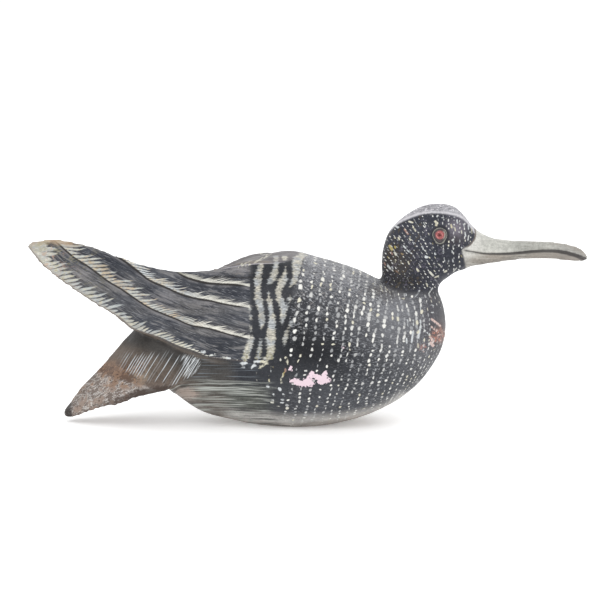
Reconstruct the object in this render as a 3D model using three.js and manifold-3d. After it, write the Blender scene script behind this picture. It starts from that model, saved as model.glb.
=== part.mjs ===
// A loon decoy carved from one piece of wood: body, neck, head and bill, two folded wings that
// sweep up into one roof-shaped tip, and a drooping tail. The bird faces +X and stands on a small
// flat spot of its belly. Origin: below the middle of its box, on the ground.

import * as THREE from 'three';
import { mergeVertices } from 'three/addons/utils/BufferGeometryUtils.js';
import Module from 'manifold-3d';

const wasm = await Module();
wasm.setup();

// Driving sizes, in millimetres.
const LENGTH = 457; // wing tip to bill tip
const HEIGHT = 180; // flat spot to crown
const WIDTH = 126; // across the flanks
const FEATHER_LAP = 1.2; // how far each carved feather edge stands over the next feather
const FEATHER_CUT = 1.1; // depth of the knife cut below each feather edge
const FEATHER_CUT_WIDTH = 2.2;
const WING_EDGE = 3; // thickness of the wing tip's lower edge
const WING_PROUD = 2.6; // how far the folded wing's edge stands out from the flank
const WING_END_PROUD = 0.7; // and how far at the front end of its feathers
const TAIL_EDGE = 4.2; // thickness of the tail's edge
const GAPE_WIDTH = 1.3; // knife cut between the two halves of the bill
const GAPE_DEPTH = 0.9;
const IRIS_DIAMETER = 8.4;
const EYE_RIM = 1.9; // width of the raised rim round the iris
const EYE_RELIEF = 0.8; // height of the rim and of the iris above the cheek

// The free forms are shares in percent: x of LENGTH, z of HEIGHT, y of WIDTH.
const alongX = (share) => (share * LENGTH) / 100;
const upZ = (share) => (share * HEIGHT) / 100;
const outY = (share) => (share * WIDTH) / 100;

// Cross-sections from the rump to the tip of the bill. Each is a slice through the two points
// where it meets the bird's profile, so the slices fan round the nape and then round the throat.
// Columns: top x and z, bottom x and z, half width, level of the widest place from the top
// (percent of the slice), squareness above it and below it (2 is round).
const SLICES = [
  [-31.1, 44.0, -30.8, 32.1, 8.0, 45, 2, 2],
  [-28.3, 51.0, -27.9, 22.0, 20.0, 42, 2, 1.8],
  [-24.3, 57.0, -24.2, 13.8, 29.0, 45, 2.1, 1.9],
  [-19.3, 62.4, -19.3, 5.3, 35.2, 49, 2.2, 2.1],
  [-14.0, 69.7, -13.6, 1.4, 41.2, 52, 2.4, 2.2],
  [-8.2, 75.2, -8.0, -1.4, 46.0, 53, 2.6, 2.2],
  [-2.9, 78.2, -2.7, -2.3, 49.2, 54, 2.6, 2.2],
  [2.1, 76.1, 2.1, -1.4, 50.0, 54, 2.4, 2.2],
  [6.6, 72.2, 7.5, 1.4, 49.2, 54, 2.2, 2.2],
  [9.7, 69.0, 13.3, 6.6, 46.0, 53, 2.1, 2.1],
  [11.6, 66.7, 18.3, 14.4, 41.3, 51, 2, 2],
  [12.7, 65.4, 21.9, 24.6, 34.9, 50, 2, 2],
  [13.2, 64.4, 24.1, 35.0, 28.6, 50, 2, 2],
  [13.3, 65.4, 24.7, 45.0, 23.8, 50, 2, 2],
  [13.2, 66.5, 24.1, 54.1, 20.6, 50, 2, 2],
  [13.2, 68.3, 23.3, 59.6, 18.0, 50, 2, 2],
  [13.1, 71.5, 23.3, 61.9, 16.8, 50, 2, 2],
  [13.2, 76.6, 23.7, 64.0, 16.6, 50, 2, 2],
  [13.7, 82.6, 24.5, 65.6, 17.1, 50, 2.1, 2],
  [14.7, 88.6, 25.4, 67.2, 17.5, 48, 2.1, 2],
  [17.0, 94.0, 26.3, 68.8, 17.9, 46, 2.1, 2],
  [19.9, 98.4, 27.2, 69.9, 17.9, 45, 2.1, 2],
  [23.3, 100.0, 27.9, 70.6, 17.1, 45, 2.1, 2],
  [26.1, 98.4, 28.5, 71.3, 15.1, 46, 2.1, 2],
  [27.9, 94.0, 28.9, 71.8, 11.9, 48, 2, 2],
  [29.3, 89.4, 29.5, 72.0, 8.7, 50, 2, 2],
  [30.9, 86.5, 30.8, 72.5, 7.1, 50, 2, 2],
  [33.5, 83.9, 33.3, 73.5, 6.0, 50, 2, 2],
  [37.9, 83.1, 37.9, 75.1, 4.8, 50, 2, 2],
  [43.3, 82.6, 43.3, 75.2, 4.0, 50, 2, 2],
  [47.2, 80.8, 47.2, 74.3, 3.0, 50, 2, 2],
  [49.0, 78.7, 49.0, 73.7, 2.1, 50, 2, 2],
  [50.0, 75.9, 50.0, 73.6, 0.8, 50, 2, 2],
];
const UPRIGHT_SLICES = 8; // the first slices stand upright, in order along X
const NECK_SLICE = 12; // the neck starts here
const THROAT_SLICE = 16; // from here on the slices fan round the throat
const CHEEK_SLICE = 20;
const BILL_SLICE = 25;

// Rails of the wings, from the tip forward: x, half distance from the middle, z.
const WING_RIDGE = [
  [-50.0, 0.4, 81.2],
  [-49.0, 0.8, 82.6],
  [-46.5, 0.8, 83.5],
  [-44.0, 0.4, 83.4],
  [-40.8, 0.2, 81.9],
  [-37.7, 0.2, 79.8],
  [-33.6, 0.2, 75.7],
  [-29.7, 0.2, 72.2],
  [-25.6, 0.2, 69.9],
  [-21.1, 0.4, 68.8],
  [-16.8, 2.4, 69.9],
  [-13.8, 10.3, 72.1],
  [-11.1, 17.5, 73.8],
  [-8.4, 23.4, 74.9],
  [-5.5, 26.6, 74.8],
  [-2.9, 28.6, 73.6],
  [0.4, 30.0, 70.0],
];
const WING_LOWER_EDGE = [
  [-50.0, 1.2, 80.2],
  [-49.0, 4.0, 77.0],
  [-46.9, 7.9, 71.4],
  [-44.4, 11.9, 66.8],
  [-40.8, 15.9, 60.7],
  [-37.2, 19.4, 55.1],
  [-33.6, 22.2, 49.9],
  [-31.1, 24.2, 45.0],
  [-26.5, 28.4, 41.3],
  [-23.3, 31.6, 37.9],
  [-20.0, 35.6, 35.6],
  [-17.7, 38.4, 33.6],
  [-13.8, 42.4, 32.6],
  [-9.0, 43.7, 32.0],
  [0.4, 45.0, 32.0],
];
// Carved feather edges on the side of the wing: x, and place between ridge (0) and lower edge (1).
// Above each edge the feather stands over the next one, and below it runs a knife cut.
const FEATHER_EDGES = [
  [[-22.9, 0], [-20.4, 0.106], [-18.1, 0.14], [-14.1, 0.186], [-10.6, 0.236], [0.4, 0.3]],
  [[-35.4, 0], [-34.0, 0.03], [-30.1, 0.14], [-25.2, 0.26], [-20.4, 0.33], [-14.1, 0.407],
    [-10.6, 0.45], [0.4, 0.52]],
  [[-45.3, 0], [-43.6, 0.16], [-41.9, 0.32], [-37.7, 0.446], [-33.5, 0.53], [-30.1, 0.57],
    [-25.2, 0.64], [-20.4, 0.68], [-14.1, 0.725], [-10.6, 0.77], [0.4, 0.8]],
];
const FEATHER_MIDDLE = 0.6; // where the facets of a feather meet, as a share of its width
const WING_TIP_FULLNESS = 1.4; // how much the roof of the wings bulges
const WING_ROOT_FULLNESS = 2.7;
const WING_FILLS_OUT_FROM = -41;
const WING_HOLLOW = 0.3; // depth of the hollow under the wing tips, as a share of their height
const WING_ROOT_DEPTH = 0.06; // and how far the solid underside bulges down at the root
const WING_HOLLOW_UNTIL = -36.5; // the hollow closes between these
const WING_SOLID_FROM = -28.5;
const WING_FREE_UNTIL = -31.5; // behind this x the wings stand clear of the body
const WING_ON_FLANK_FROM = -19; // in front of this x the wing's side follows the flank
const WING_FADES_FROM = -19; // the wing lies closer and closer to the flank between these
const WING_FADES_UNTIL = -12.4;
const WING_SUNK_AT = -10.2; // and its front end is one with the flank here

// Rails of the tail, from the tip forward.
const TAIL_RIDGE = [
  [-43.7, 0, 6.0],
  [-40.8, 0, 16.1],
  [-36.5, 0, 27.5],
  [-30.9, 0, 43.1],
  [-24.7, 0, 52.0],
  [-17.5, 0, 56.0],
];
const TAIL_LOWER_EDGE = [
  [-43.7, 4.2, 2.4],
  [-41.7, 8.4, 3.4],
  [-39.0, 14.3, 6.6],
  [-36.3, 19.0, 8.8],
  [-33.5, 23.0, 10.9],
  [-29.7, 27.5, 15.2],
  [-24.7, 31.0, 18.5],
  [-20.5, 33.0, 22.0],
  [-17.5, 31.0, 23.0],
];
const TAIL_TIP_FULLNESS = 1.3; // how much the roof of the tail bulges
const TAIL_ROOT_FULLNESS = 4.5;
const TAIL_FILLS_OUT_FROM = -38; // it fills out to the width of the rump between these
const TAIL_FULL_FROM = -28;
const TAIL_HOLLOW = 0.2; // depth of the hollow under the tail, as a share of its height
const TAIL_HOLLOW_FROM = [-43.5, -38.5]; // it opens between these and closes between those
const TAIL_HOLLOW_UNTIL = [-34, -29];

// The gape, from the corner of the mouth to the tip: x and z.
const GAPE = [
  [27.6, 78.9],
  [29.5, 78.0],
  [31.7, 77.2],
  [34.0, 77.0],
  [36.5, 77.5],
  [41.5, 78.9],
  [45.1, 78.9],
  [47.8, 77.0],
  [50.3, 74.6],
];
const EYE = [23.4, 87.7]; // middle of the iris: x and z

// Fineness of the facets.
const BODY_RINGS_PER_SLICE = 3;
const HEAD_RINGS_PER_SLICE = 2;
const AROUND = 32;
const WING_RINGS = 50;
const TAIL_RINGS = 22;
const TAIL_ROWS = 6;
const GAPE_RINGS = 20;
const EYE_FACETS = 20;
const TIP_CROWDING = 1.25; // rings of wings and tail stand closer together towards the tips

const { lerp, smoothstep } = THREE.MathUtils;

// Where a rising function passes zero between two places.
function crossing(rising, from, until) {
  let [low, high] = [from, until];
  for (let i = 0; i < 30; i++) {
    const middle = (low + high) / 2;
    if (rising(middle) < 0) low = middle;
    else high = middle;
  }
  return low;
}

// A smooth function through a list of [position, value] pairs that may lie unevenly.
function smoothThrough(pairs) {
  const curve = new THREE.SplineCurve(pairs.map(([at, value]) => new THREE.Vector2(at, value)));
  return (at) => curve.getPoint(crossing((t) => curve.getPoint(t).x - at, 0, 1)).y;
}

function rail(points) {
  return {
    out: smoothThrough(points.map(([x, y]) => [x, y])),
    up: smoothThrough(points.map(([x, , z]) => [x, z])),
    from: points[0][0],
    until: points[points.length - 1][0],
  };
}

// Closes a row of rings, each a list of points, into one solid.
function loft(rings) {
  const count = rings[0].length;
  const positions = rings.flat().flatMap((point) => [point.x, point.y, point.z]);
  const index = [];
  for (let r = 0; r + 1 < rings.length; r++) {
    for (let k = 0; k < count; k++) {
      const a = r * count + k;
      const b = r * count + ((k + 1) % count);
      index.push(a, b, b + count, a, b + count, a + count);
    }
  }
  for (const [ring, turn] of [[0, false], [rings.length - 1, true]]) {
    const centre = new THREE.Vector3();
    rings[ring].forEach((point) => centre.addScaledVector(point, 1 / count));
    const middle = positions.length / 3;
    positions.push(centre.x, centre.y, centre.z);
    for (let k = 0; k < count; k++) {
      const a = ring * count + k;
      const b = ring * count + ((k + 1) % count);
      index.push(middle, turn ? a : b, turn ? b : a);
    }
  }
  const geometry = new THREE.BufferGeometry();
  geometry.setAttribute('position', new THREE.Float32BufferAttribute(positions, 3));
  geometry.setIndex(index);
  return toSolid(geometry);
}

// A closed geometry as a solid, with its shared corners merged and its faces turned outwards.
function toSolid(geometry) {
  const bare = geometry.clone();
  bare.deleteAttribute('normal');
  bare.deleteAttribute('uv');
  const merged = mergeVertices(bare, 1e-4);
  const source = merged.index.array;
  const corners = [];
  for (let i = 0; i < source.length; i += 3) {
    const [a, b, c] = [source[i], source[i + 1], source[i + 2]];
    if (a !== b && b !== c && c !== a) corners.push(a, b, c);
  }
  const vertProperties = merged.attributes.position.array;
  let volume = 0;
  const [p, q, r] = [new THREE.Vector3(), new THREE.Vector3(), new THREE.Vector3()];
  for (let i = 0; i < corners.length; i += 3) {
    p.fromArray(vertProperties, corners[i] * 3);
    q.fromArray(vertProperties, corners[i + 1] * 3);
    r.fromArray(vertProperties, corners[i + 2] * 3);
    volume += p.dot(q.cross(r));
  }
  if (volume < 0) corners.reverse();
  const triVerts = new Uint32Array(corners);
  return new wasm.Manifold(new wasm.Mesh({ numProp: 3, vertProperties, triVerts }));
}

// Body, neck, head and bill: one loft through the slices.
const sliceColumns = SLICES[0].map((_, column) =>
  new THREE.SplineCurve(SLICES.map((row, n) => new THREE.Vector2(n, row[column]))));

// The slice at a place counted in slices, so 2.5 is halfway from the third to the fourth.
function sliceAt(place) {
  const t = THREE.MathUtils.clamp(place / (SLICES.length - 1), 0, 1);
  const [topX, topZ, lowX, lowZ, half, level, above, below] =
    sliceColumns.map((column) => column.getPoint(t).y);
  const top = new THREE.Vector2(alongX(topX), upZ(topZ));
  const low = new THREE.Vector2(alongX(lowX), upZ(lowZ));
  return { top, low, widest: level / 100, half: outY(half), above, below };
}

// A superellipse quarter: how far out a slice reaches at a share of the way from its widest level.
function reach(share, squareness) {
  return Math.pow(Math.max(0, 1 - Math.pow(Math.min(1, Math.abs(share)), squareness)),
    1 / squareness);
}

function bodyRing(place) {
  const slice = sliceAt(place);
  const ring = [];
  for (let k = 0; k < AROUND; k++) {
    const angle = (2 * Math.PI * k) / AROUND;
    const upper = Math.cos(angle) >= 0;
    const power = 2 / (upper ? slice.above : slice.below);
    const rise = Math.pow(Math.abs(Math.cos(angle)), power);
    const out = Math.sign(Math.sin(angle)) * Math.pow(Math.abs(Math.sin(angle)), power);
    const down = upper ? slice.widest * (1 - rise) : lerp(slice.widest, 1, rise);
    const point = slice.top.clone().lerp(slice.low, down);
    ring.push(new THREE.Vector3(point.x, slice.half * out, point.y));
  }
  return ring;
}

function bodySolid() {
  const rings = [];
  for (let n = 0; n + 1 < SLICES.length; n++) {
    const steps = n < NECK_SLICE ? BODY_RINGS_PER_SLICE : HEAD_RINGS_PER_SLICE;
    for (let i = 0; i < steps; i++) rings.push(bodyRing(n + i / steps));
  }
  rings.push(bodyRing(SLICES.length - 1));
  return loft(rings);
}

// Half width of the body, head or bill at a point of its side view, between two slices.
function halfWidthAt(x, z, first, last) {
  const point = new THREE.Vector2(x, z);
  const behind = (place) => {
    const { top, low } = sliceAt(place);
    return point.clone().sub(top).cross(low.clone().sub(top));
  };
  const slice = sliceAt(crossing(behind, first, last));
  const down = slice.low.clone().sub(slice.top);
  const share = point.sub(slice.top).dot(down) / down.lengthSq();
  if (share < slice.widest) {
    return slice.half * reach((slice.widest - share) / slice.widest, slice.above);
  }
  return slice.half * reach((share - slice.widest) / (1 - slice.widest), slice.below);
}

// Height of the body's back above a place along the middle.
function backAt(x) {
  return sliceAt(crossing((place) => sliceAt(place).top.x - x, 0, UPRIGHT_SLICES)).top.y;
}

// A ring of wings or tail: one side from the ridge to the lip, its mirror image and the middle.
function roofRing(x, ridgeZ, side, undersideZ) {
  const lip = side[side.length - 1];
  const half = [
    ...side,
    new THREE.Vector3(x, lip.y / 2, lerp(lip.z, undersideZ, 0.75)),
  ];
  const mirrored = half.map((point) => new THREE.Vector3(point.x, -point.y, point.z)).reverse();
  return [new THREE.Vector3(x, 0, ridgeZ), ...half, new THREE.Vector3(x, 0, undersideZ), ...mirrored];
}

// One side of the wings at a place along them: from the ridge down over the feathers to the lip.
function wingSide(share, top, low, edges) {
  const x = alongX(share);
  const free = 1 - smoothstep(share, WING_FREE_UNTIL, WING_ON_FLANK_FROM);
  const fade = smoothstep(share, WING_FADES_FROM, WING_FADES_UNTIL);
  const sunk = smoothstep(share, WING_FADES_UNTIL, WING_SUNK_AT);
  const fills = smoothstep(share, WING_FILLS_OUT_FROM, WING_ON_FLANK_FROM);
  const fullness = lerp(WING_TIP_FULLNESS, WING_ROOT_FULLNESS, fills);
  const proud = lerp(WING_PROUD, WING_END_PROUD, fade) - 2 * WING_PROUD * sunk;
  const surface = (down) => {
    const z = lerp(top.z, low.z, down);
    const roof = lerp(top.y, low.y, 1 - Math.pow(1 - down, fullness));
    const flank = halfWidthAt(x, z, 0, UPRIGHT_SLICES) + proud * Math.min(1, down * 3);
    const onFlank = lerp(Math.max(roof, flank), flank, fade);
    return new THREE.Vector3(x, lerp(onFlank, roof, free), z);
  };
  const side = [];
  for (let n = 0; n + 1 < edges.length; n++) {
    const [upper, lower] = [edges[n], edges[n + 1]];
    const width = (lower - upper) * (top.z - low.z);
    const lap = Math.min(FEATHER_LAP, width / 5) * (1 - fade / 2) * (1 - sunk);
    const cut = n === 0 ? 0 : Math.min(FEATHER_CUT, width / 8) * (1 - sunk);
    const cutShare = Math.min(FEATHER_CUT_WIDTH / Math.max(width, FEATHER_CUT), FEATHER_MIDDLE / 2);
    for (const across of [0, cutShare, FEATHER_MIDDLE, 1]) {
      const point = surface(lerp(upper, lower, across));
      point.y += across === 0 ? -cut : lap * across;
      point.y = Math.max(top.y, point.y);
      side.push(point);
    }
  }
  const last = side[side.length - 1];
  const lipInset = WING_EDGE * lerp(3, 0.4, free);
  const lipY = Math.max(last.y / 4, last.y - lipInset);
  side.push(new THREE.Vector3(x, lipY, last.z - WING_EDGE * free));
  return side;
}

// Both wings in one solid: a roof with stepped feathers outside and a hollow below.
function wingSolid() {
  const ridge = rail(WING_RIDGE);
  const edge = rail(WING_LOWER_EDGE);
  const feathers = FEATHER_EDGES.map((pairs) => ({ from: pairs[0][0], at: smoothThrough(pairs) }));
  const rings = [];
  for (let i = 0; i <= WING_RINGS; i++) {
    const share = lerp(ridge.from, ridge.until, Math.pow(i / WING_RINGS, TIP_CROWDING));
    const x = alongX(share);
    const free = 1 - smoothstep(share, WING_FREE_UNTIL, WING_ON_FLANK_FROM);
    const top = { y: outY(ridge.out(share)), z: upZ(ridge.up(share)) };
    const low = { y: outY(edge.out(share)), z: upZ(edge.up(share)) + WING_EDGE * free };
    const places = feathers.map(({ from, at }) => (share <= from ? 0 : Math.max(0, at(share))));
    const side = wingSide(share, top, low, [0, ...places, 1]);
    const solid = smoothstep(share, WING_HOLLOW_UNTIL, WING_SOLID_FROM);
    const hollow = lerp(WING_HOLLOW, -WING_ROOT_DEPTH, solid);
    const undersideZ = lerp(side[side.length - 1].z, top.z, hollow);
    const split = top.y > outY(1);
    const middleZ = split ? Math.min(top.z, backAt(x)) : top.z;
    rings.push(roofRing(x, middleZ, side, undersideZ));
  }
  return loft(rings);
}

// The tail: a roof whose ridge droops to a blunt tip, with a thick worn edge and a hollow below.
function tailSolid() {
  const ridge = rail(TAIL_RIDGE);
  const edge = rail(TAIL_LOWER_EDGE);
  const rings = [];
  for (let i = 0; i <= TAIL_RINGS; i++) {
    const share = lerp(ridge.from, ridge.until, Math.pow(i / TAIL_RINGS, TIP_CROWDING));
    const x = alongX(share);
    const ridgeZ = upZ(ridge.up(share));
    const lipZ = upZ(edge.up(share));
    const edgeY = outY(edge.out(share));
    const edgeZ = lipZ + Math.min(TAIL_EDGE, (ridgeZ - lipZ) / 2);
    const fills = smoothstep(share, TAIL_FILLS_OUT_FROM, TAIL_FULL_FROM);
    const fullness = lerp(TAIL_TIP_FULLNESS, TAIL_ROOT_FULLNESS, fills);
    const side = [];
    for (let row = 1; row <= TAIL_ROWS; row++) {
      const down = row / TAIL_ROWS;
      const out = edgeY * (1 - Math.pow(1 - down, fullness));
      side.push(new THREE.Vector3(x, out, lerp(ridgeZ, edgeZ, down)));
    }
    side.push(new THREE.Vector3(x, edgeY * 0.97, lipZ));
    const opening = smoothstep(share, ...TAIL_HOLLOW_FROM);
    const closing = smoothstep(share, ...TAIL_HOLLOW_UNTIL);
    const undersideZ = lerp(lipZ, ridgeZ, TAIL_HOLLOW * opening * (1 - closing));
    rings.push(roofRing(x, ridgeZ, side, undersideZ));
  }
  return loft(rings);
}

// The knife cut of the gape on one side of the bill: a thin wedge pointing inwards.
function gapeCut(side) {
  const line = smoothThrough(GAPE);
  const [from, until] = [GAPE[0][0], GAPE[GAPE.length - 1][0]];
  const rings = [];
  for (let i = 0; i <= GAPE_RINGS; i++) {
    const share = lerp(from, until, i / GAPE_RINGS);
    const x = alongX(share);
    const z = upZ(line(share));
    const half = halfWidthAt(x, z, THROAT_SLICE, SLICES.length - 1);
    const inner = half - Math.min(GAPE_DEPTH, half / 2) * smoothstep(i, -1, 2);
    const outer = half + GAPE_DEPTH * 2;
    const open = (GAPE_WIDTH / 2) * ((outer - inner) / GAPE_DEPTH);
    rings.push([
      new THREE.Vector3(x, side * inner, z),
      new THREE.Vector3(x, side * outer, z + open),
      new THREE.Vector3(x, side * outer, z - open),
    ]);
  }
  return loft(rings);
}

// A low domed iris in a raised rim, lying on the slope of the cheek.
function eyeSolid(side) {
  const [x, z] = [alongX(EYE[0]), upZ(EYE[1])];
  const cheek = (dx, dz) => halfWidthAt(x + dx, z + dz, THROAT_SLICE, BILL_SLICE);
  const span = IRIS_DIAMETER / 2;
  const slopeX = (cheek(span, 0) - cheek(-span, 0)) / (2 * span);
  const slopeZ = (cheek(0, span) - cheek(0, -span)) / (2 * span);
  const normal = new THREE.Vector3(-slopeX, side, -slopeZ).normalize();
  const turn = new THREE.Quaternion().setFromUnitVectors(new THREE.Vector3(0, 0, 1), normal);
  const place = new THREE.Matrix4().compose(
    new THREE.Vector3(x, side * cheek(0, 0), z), turn, new THREE.Vector3(1, 1, 1));
  const iris = IRIS_DIAMETER / 2;
  const cheekRadius = sliceAt(CHEEK_SLICE).half;
  const onCheek = (radius, height) =>
    new THREE.Vector2(radius, height - (radius * radius) / (2 * cheekRadius));
  const profile = [
    new THREE.Vector2(0, -iris),
    new THREE.Vector2(iris + EYE_RIM, -iris),
    onCheek(iris + EYE_RIM, -EYE_RELIEF / 2),
    onCheek(iris + EYE_RIM * 0.75, EYE_RELIEF * 0.75),
    onCheek(iris + EYE_RIM * 0.4, EYE_RELIEF),
    onCheek(iris, EYE_RELIEF * 0.2),
    onCheek(iris * 0.75, EYE_RELIEF * 0.8),
    onCheek(iris * 0.4, EYE_RELIEF * 1.15),
    onCheek(0, EYE_RELIEF * 1.3),
  ];
  const button = new THREE.LatheGeometry(profile, EYE_FACETS);
  button.rotateX(Math.PI / 2);
  button.applyMatrix4(place);
  return toSolid(button);
}

// Everything below the ground, cut away to leave the flat spot that the bird stands on.
function groundCut() {
  const depth = HEIGHT / 4;
  const block = new THREE.BoxGeometry(LENGTH * 2, WIDTH * 2, depth);
  block.translate(0, 0, -depth / 2);
  return toSolid(block);
}

function carvedLoon() {
  let solid = bodySolid();
  solid = solid.add(wingSolid());
  solid = solid.add(tailSolid());
  for (const side of [-1, 1]) {
    solid = solid.subtract(gapeCut(side));
    solid = solid.add(eyeSolid(side));
  }
  solid = solid.subtract(groundCut());
  const { vertProperties, triVerts } = solid.getMesh();
  const geometry = new THREE.BufferGeometry();
  geometry.setAttribute('position', new THREE.Float32BufferAttribute(vertProperties, 3));
  geometry.setIndex(Array.from(triVerts));
  geometry.computeVertexNormals();
  const paintedWood = new THREE.MeshStandardMaterial({
    color: '#3d4046',
    roughness: 0.5,
    metalness: 0,
  });
  const mesh = new THREE.Mesh(geometry, paintedWood);
  mesh.name = 'carved_loon';
  return mesh;
}

const group = new THREE.Group();
group.add(carvedLoon());

export default group;
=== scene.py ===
# A loon decoy: one carved and painted wooden bird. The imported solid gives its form; this script
# rubs it smooth, cuts the fine carving into it and paints it as the photograph shows.

import math

import bmesh
import bpy
import numpy as np
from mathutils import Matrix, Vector, noise


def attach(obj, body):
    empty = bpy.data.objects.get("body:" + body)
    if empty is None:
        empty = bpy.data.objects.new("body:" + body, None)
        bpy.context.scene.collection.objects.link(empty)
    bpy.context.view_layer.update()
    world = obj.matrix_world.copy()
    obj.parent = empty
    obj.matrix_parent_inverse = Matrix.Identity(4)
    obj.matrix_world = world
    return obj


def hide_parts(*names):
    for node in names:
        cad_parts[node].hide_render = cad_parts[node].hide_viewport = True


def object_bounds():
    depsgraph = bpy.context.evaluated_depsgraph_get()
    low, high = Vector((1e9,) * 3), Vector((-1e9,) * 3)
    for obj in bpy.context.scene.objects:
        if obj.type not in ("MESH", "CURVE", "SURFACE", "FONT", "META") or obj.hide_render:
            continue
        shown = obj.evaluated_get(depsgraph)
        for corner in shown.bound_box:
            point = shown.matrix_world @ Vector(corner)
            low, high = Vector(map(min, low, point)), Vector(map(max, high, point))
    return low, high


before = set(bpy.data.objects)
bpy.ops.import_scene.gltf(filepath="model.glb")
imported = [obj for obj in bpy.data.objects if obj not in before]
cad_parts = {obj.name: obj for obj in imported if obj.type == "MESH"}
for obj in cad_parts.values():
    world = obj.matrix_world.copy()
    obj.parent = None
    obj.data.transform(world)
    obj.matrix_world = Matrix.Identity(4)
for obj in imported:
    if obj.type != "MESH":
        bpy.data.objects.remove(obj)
cad_box = [list(corner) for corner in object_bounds()]

# The place that the bird is seen from
# The photographer stood at the bird's right side, a little above it. The paint plan below is
# drawn as seen from there, and the camera at the end of the script stands in the same place.
SEEN_FROM_ABOVE = math.radians(8)
SEEN_FROM_DISTANCE = 1500.0  # millimetres, as every length down to the finished mesh
LOOKED_AT = np.array([-6.54, 0.0, 100.7])
SEEN_WIDTH = 490.5  # how much of the middle plane the photograph takes in
PHOTO_WIDTH = 600  # pixels
looking = np.array([0.0, math.cos(SEEN_FROM_ABOVE), -math.sin(SEEN_FROM_ABOVE)])
photo_up = np.array([0.0, math.sin(SEEN_FROM_ABOVE), math.cos(SEEN_FROM_ABOVE)])
onlooker = LOOKED_AT - looking * SEEN_FROM_DISTANCE


def plan(*points):
    """Points of the photograph, in its pixels, as (x, z) in millimetres on the bird's middle plane."""
    pixel = SEEN_WIDTH / PHOTO_WIDTH / SEEN_FROM_DISTANCE
    marks = []
    for across, down in points:
        ray = looking + photo_up * (PHOTO_WIDTH / 2 - down) * pixel
        ray = ray + np.array([(across - PHOTO_WIDTH / 2) * pixel, 0, 0])
        marks.append((onlooker - ray * onlooker[1] / ray[1])[[0, 2]])
    return np.array(marks)


def at(across, down):
    """The place on the middle plane of one pixel of the photograph."""
    return plan((across, down))[0]


def seen(points):
    """Where the onlooker sees points on the middle plane. The left side mirrors the right one."""
    reach = onlooker[1] / (onlooker[1] + np.abs(points[:, 1]))
    return onlooker[[0, 2]] + (points[:, [0, 2]] - onlooker[[0, 2]]) * reach[:, None]


# The carved blank
# One block of soft wood cut to the bird with axe and knife, with no joint anywhere. It is the
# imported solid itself, closed up in small even faces and rubbed down until its facets are gone.
FACE_SIZE = 1.9
RUBBED_DOWN = 45  # rounds of smoothing
RUB = 0.5
RUB_BACK = -0.53  # each round ends by swelling this much, so the form doesn't shrink
mm = 0.001

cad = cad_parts["carved_loon"]
solid = cad.data.copy()
closed = bmesh.new()
closed.from_mesh(solid)
bmesh.ops.remove_doubles(closed, verts=closed.verts, dist=0.001 * mm)
closed.to_mesh(solid)
closed.free()
block = bpy.data.objects.new("block", solid)
bpy.context.scene.collection.objects.link(block)
even = block.modifiers.new("even_faces", "REMESH")
even.mode = "VOXEL"
even.voxel_size = FACE_SIZE * mm
carving = bpy.data.meshes.new_from_object(
    block.evaluated_get(bpy.context.evaluated_depsgraph_get())
)
bpy.data.objects.remove(block)


def read(source, what, width, kind=np.float32):
    """One value of every vertex, edge or face of a mesh, as an array."""
    values = np.zeros(len(source) * width, kind)
    source.foreach_get(what, values)
    return values.reshape(-1, width)


def averaged(values, links, share, rounds=1):
    """Values moved towards the mean of their neighbours' again and again, by a share each."""
    count = len(values)
    ends = np.concatenate([links, links[:, ::-1]])
    number = np.bincount(ends[:, 0], minlength=count)[:, None]
    share = np.broadcast_to(share, (count,))[:, None]
    for _ in range(rounds):
        total = [
            np.bincount(ends[:, 0], values[ends[:, 1], axis], minlength=count)
            for axis in range(values.shape[1])
        ]
        values = values + (np.stack(total, 1) / number - values) * share
    return values


def eased(values, low, high):
    """0 up to low, 1 from high on, and a smooth rise between them."""
    t = np.clip((values - low) / (high - low), 0, 1)
    return t * t * (3 - 2 * t)


def normals_of(mesh, places):
    """The vertex normals of a mesh whose vertices have been moved to these places."""
    mesh.vertices.foreach_set("co", (places * mm).astype(np.float32).ravel())
    mesh.update()
    return read(mesh.vertices, "normal", 3).astype(float)


links = read(carving.edges, "vertices", 2, np.int32)
places = read(carving.vertices, "co", 3).astype(float) / mm
places = averaged(places, links, RUB, 2)
for _ in range(RUBBED_DOWN):
    places = averaged(places, links, RUB)
    places = averaged(places, links, RUB_BACK)
outward = normals_of(carving, places)

# The fine carving
# The knife laid three long feather edges on each wing, left a low rim round each eye and cut the
# slit of the bill. Each is drawn in the photograph's pixels and cut alike on both sides.
FEATHER_LINES = [
    plan((170, 268), (178, 273), (185, 277), (194, 280), (207, 283), (220, 284), (238, 285), (250, 287)),
    plan(
        (95, 242), (106, 249), (118, 257), (127, 263), (140, 273), (149, 280), (167, 288), (180, 294),
        (194, 298), (211, 301), (229, 305), (249, 308),
    ),
    plan(
        (50, 237), (55, 241), (64, 249), (74, 257.5), (86, 265), (97, 273), (109, 282), (121, 289),
        (146, 306), (161, 313), (176, 319), (190, 325), (211, 329), (229, 334.5), (249, 339),
    ),
]
WING_EDGE = plan(
    (24, 238), (28, 246), (46, 268), (60, 279), (80, 293), (100, 306), (120, 318), (134, 329), (160, 338),
    (178, 346), (196, 352), (209, 357), (231, 360), (246, 361),
)
EYE = at(439.8, 235)
IRIS = 4.1
RIM = 6.3
HEAD_MIDDLE = at(426, 240)
GAPE = plan(
    (461.6, 250), (473, 252), (485, 253.7), (498, 254), (512, 253.4), (540, 251), (558, 251.2),
    (575, 255), (585, 259),
)
TAIL_EDGE = plan((60, 410), (69, 414), (84, 410), (100, 406), (118, 401), (138, 393), (160, 389), (174, 388))
LINE_STEP = 3.0
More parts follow.
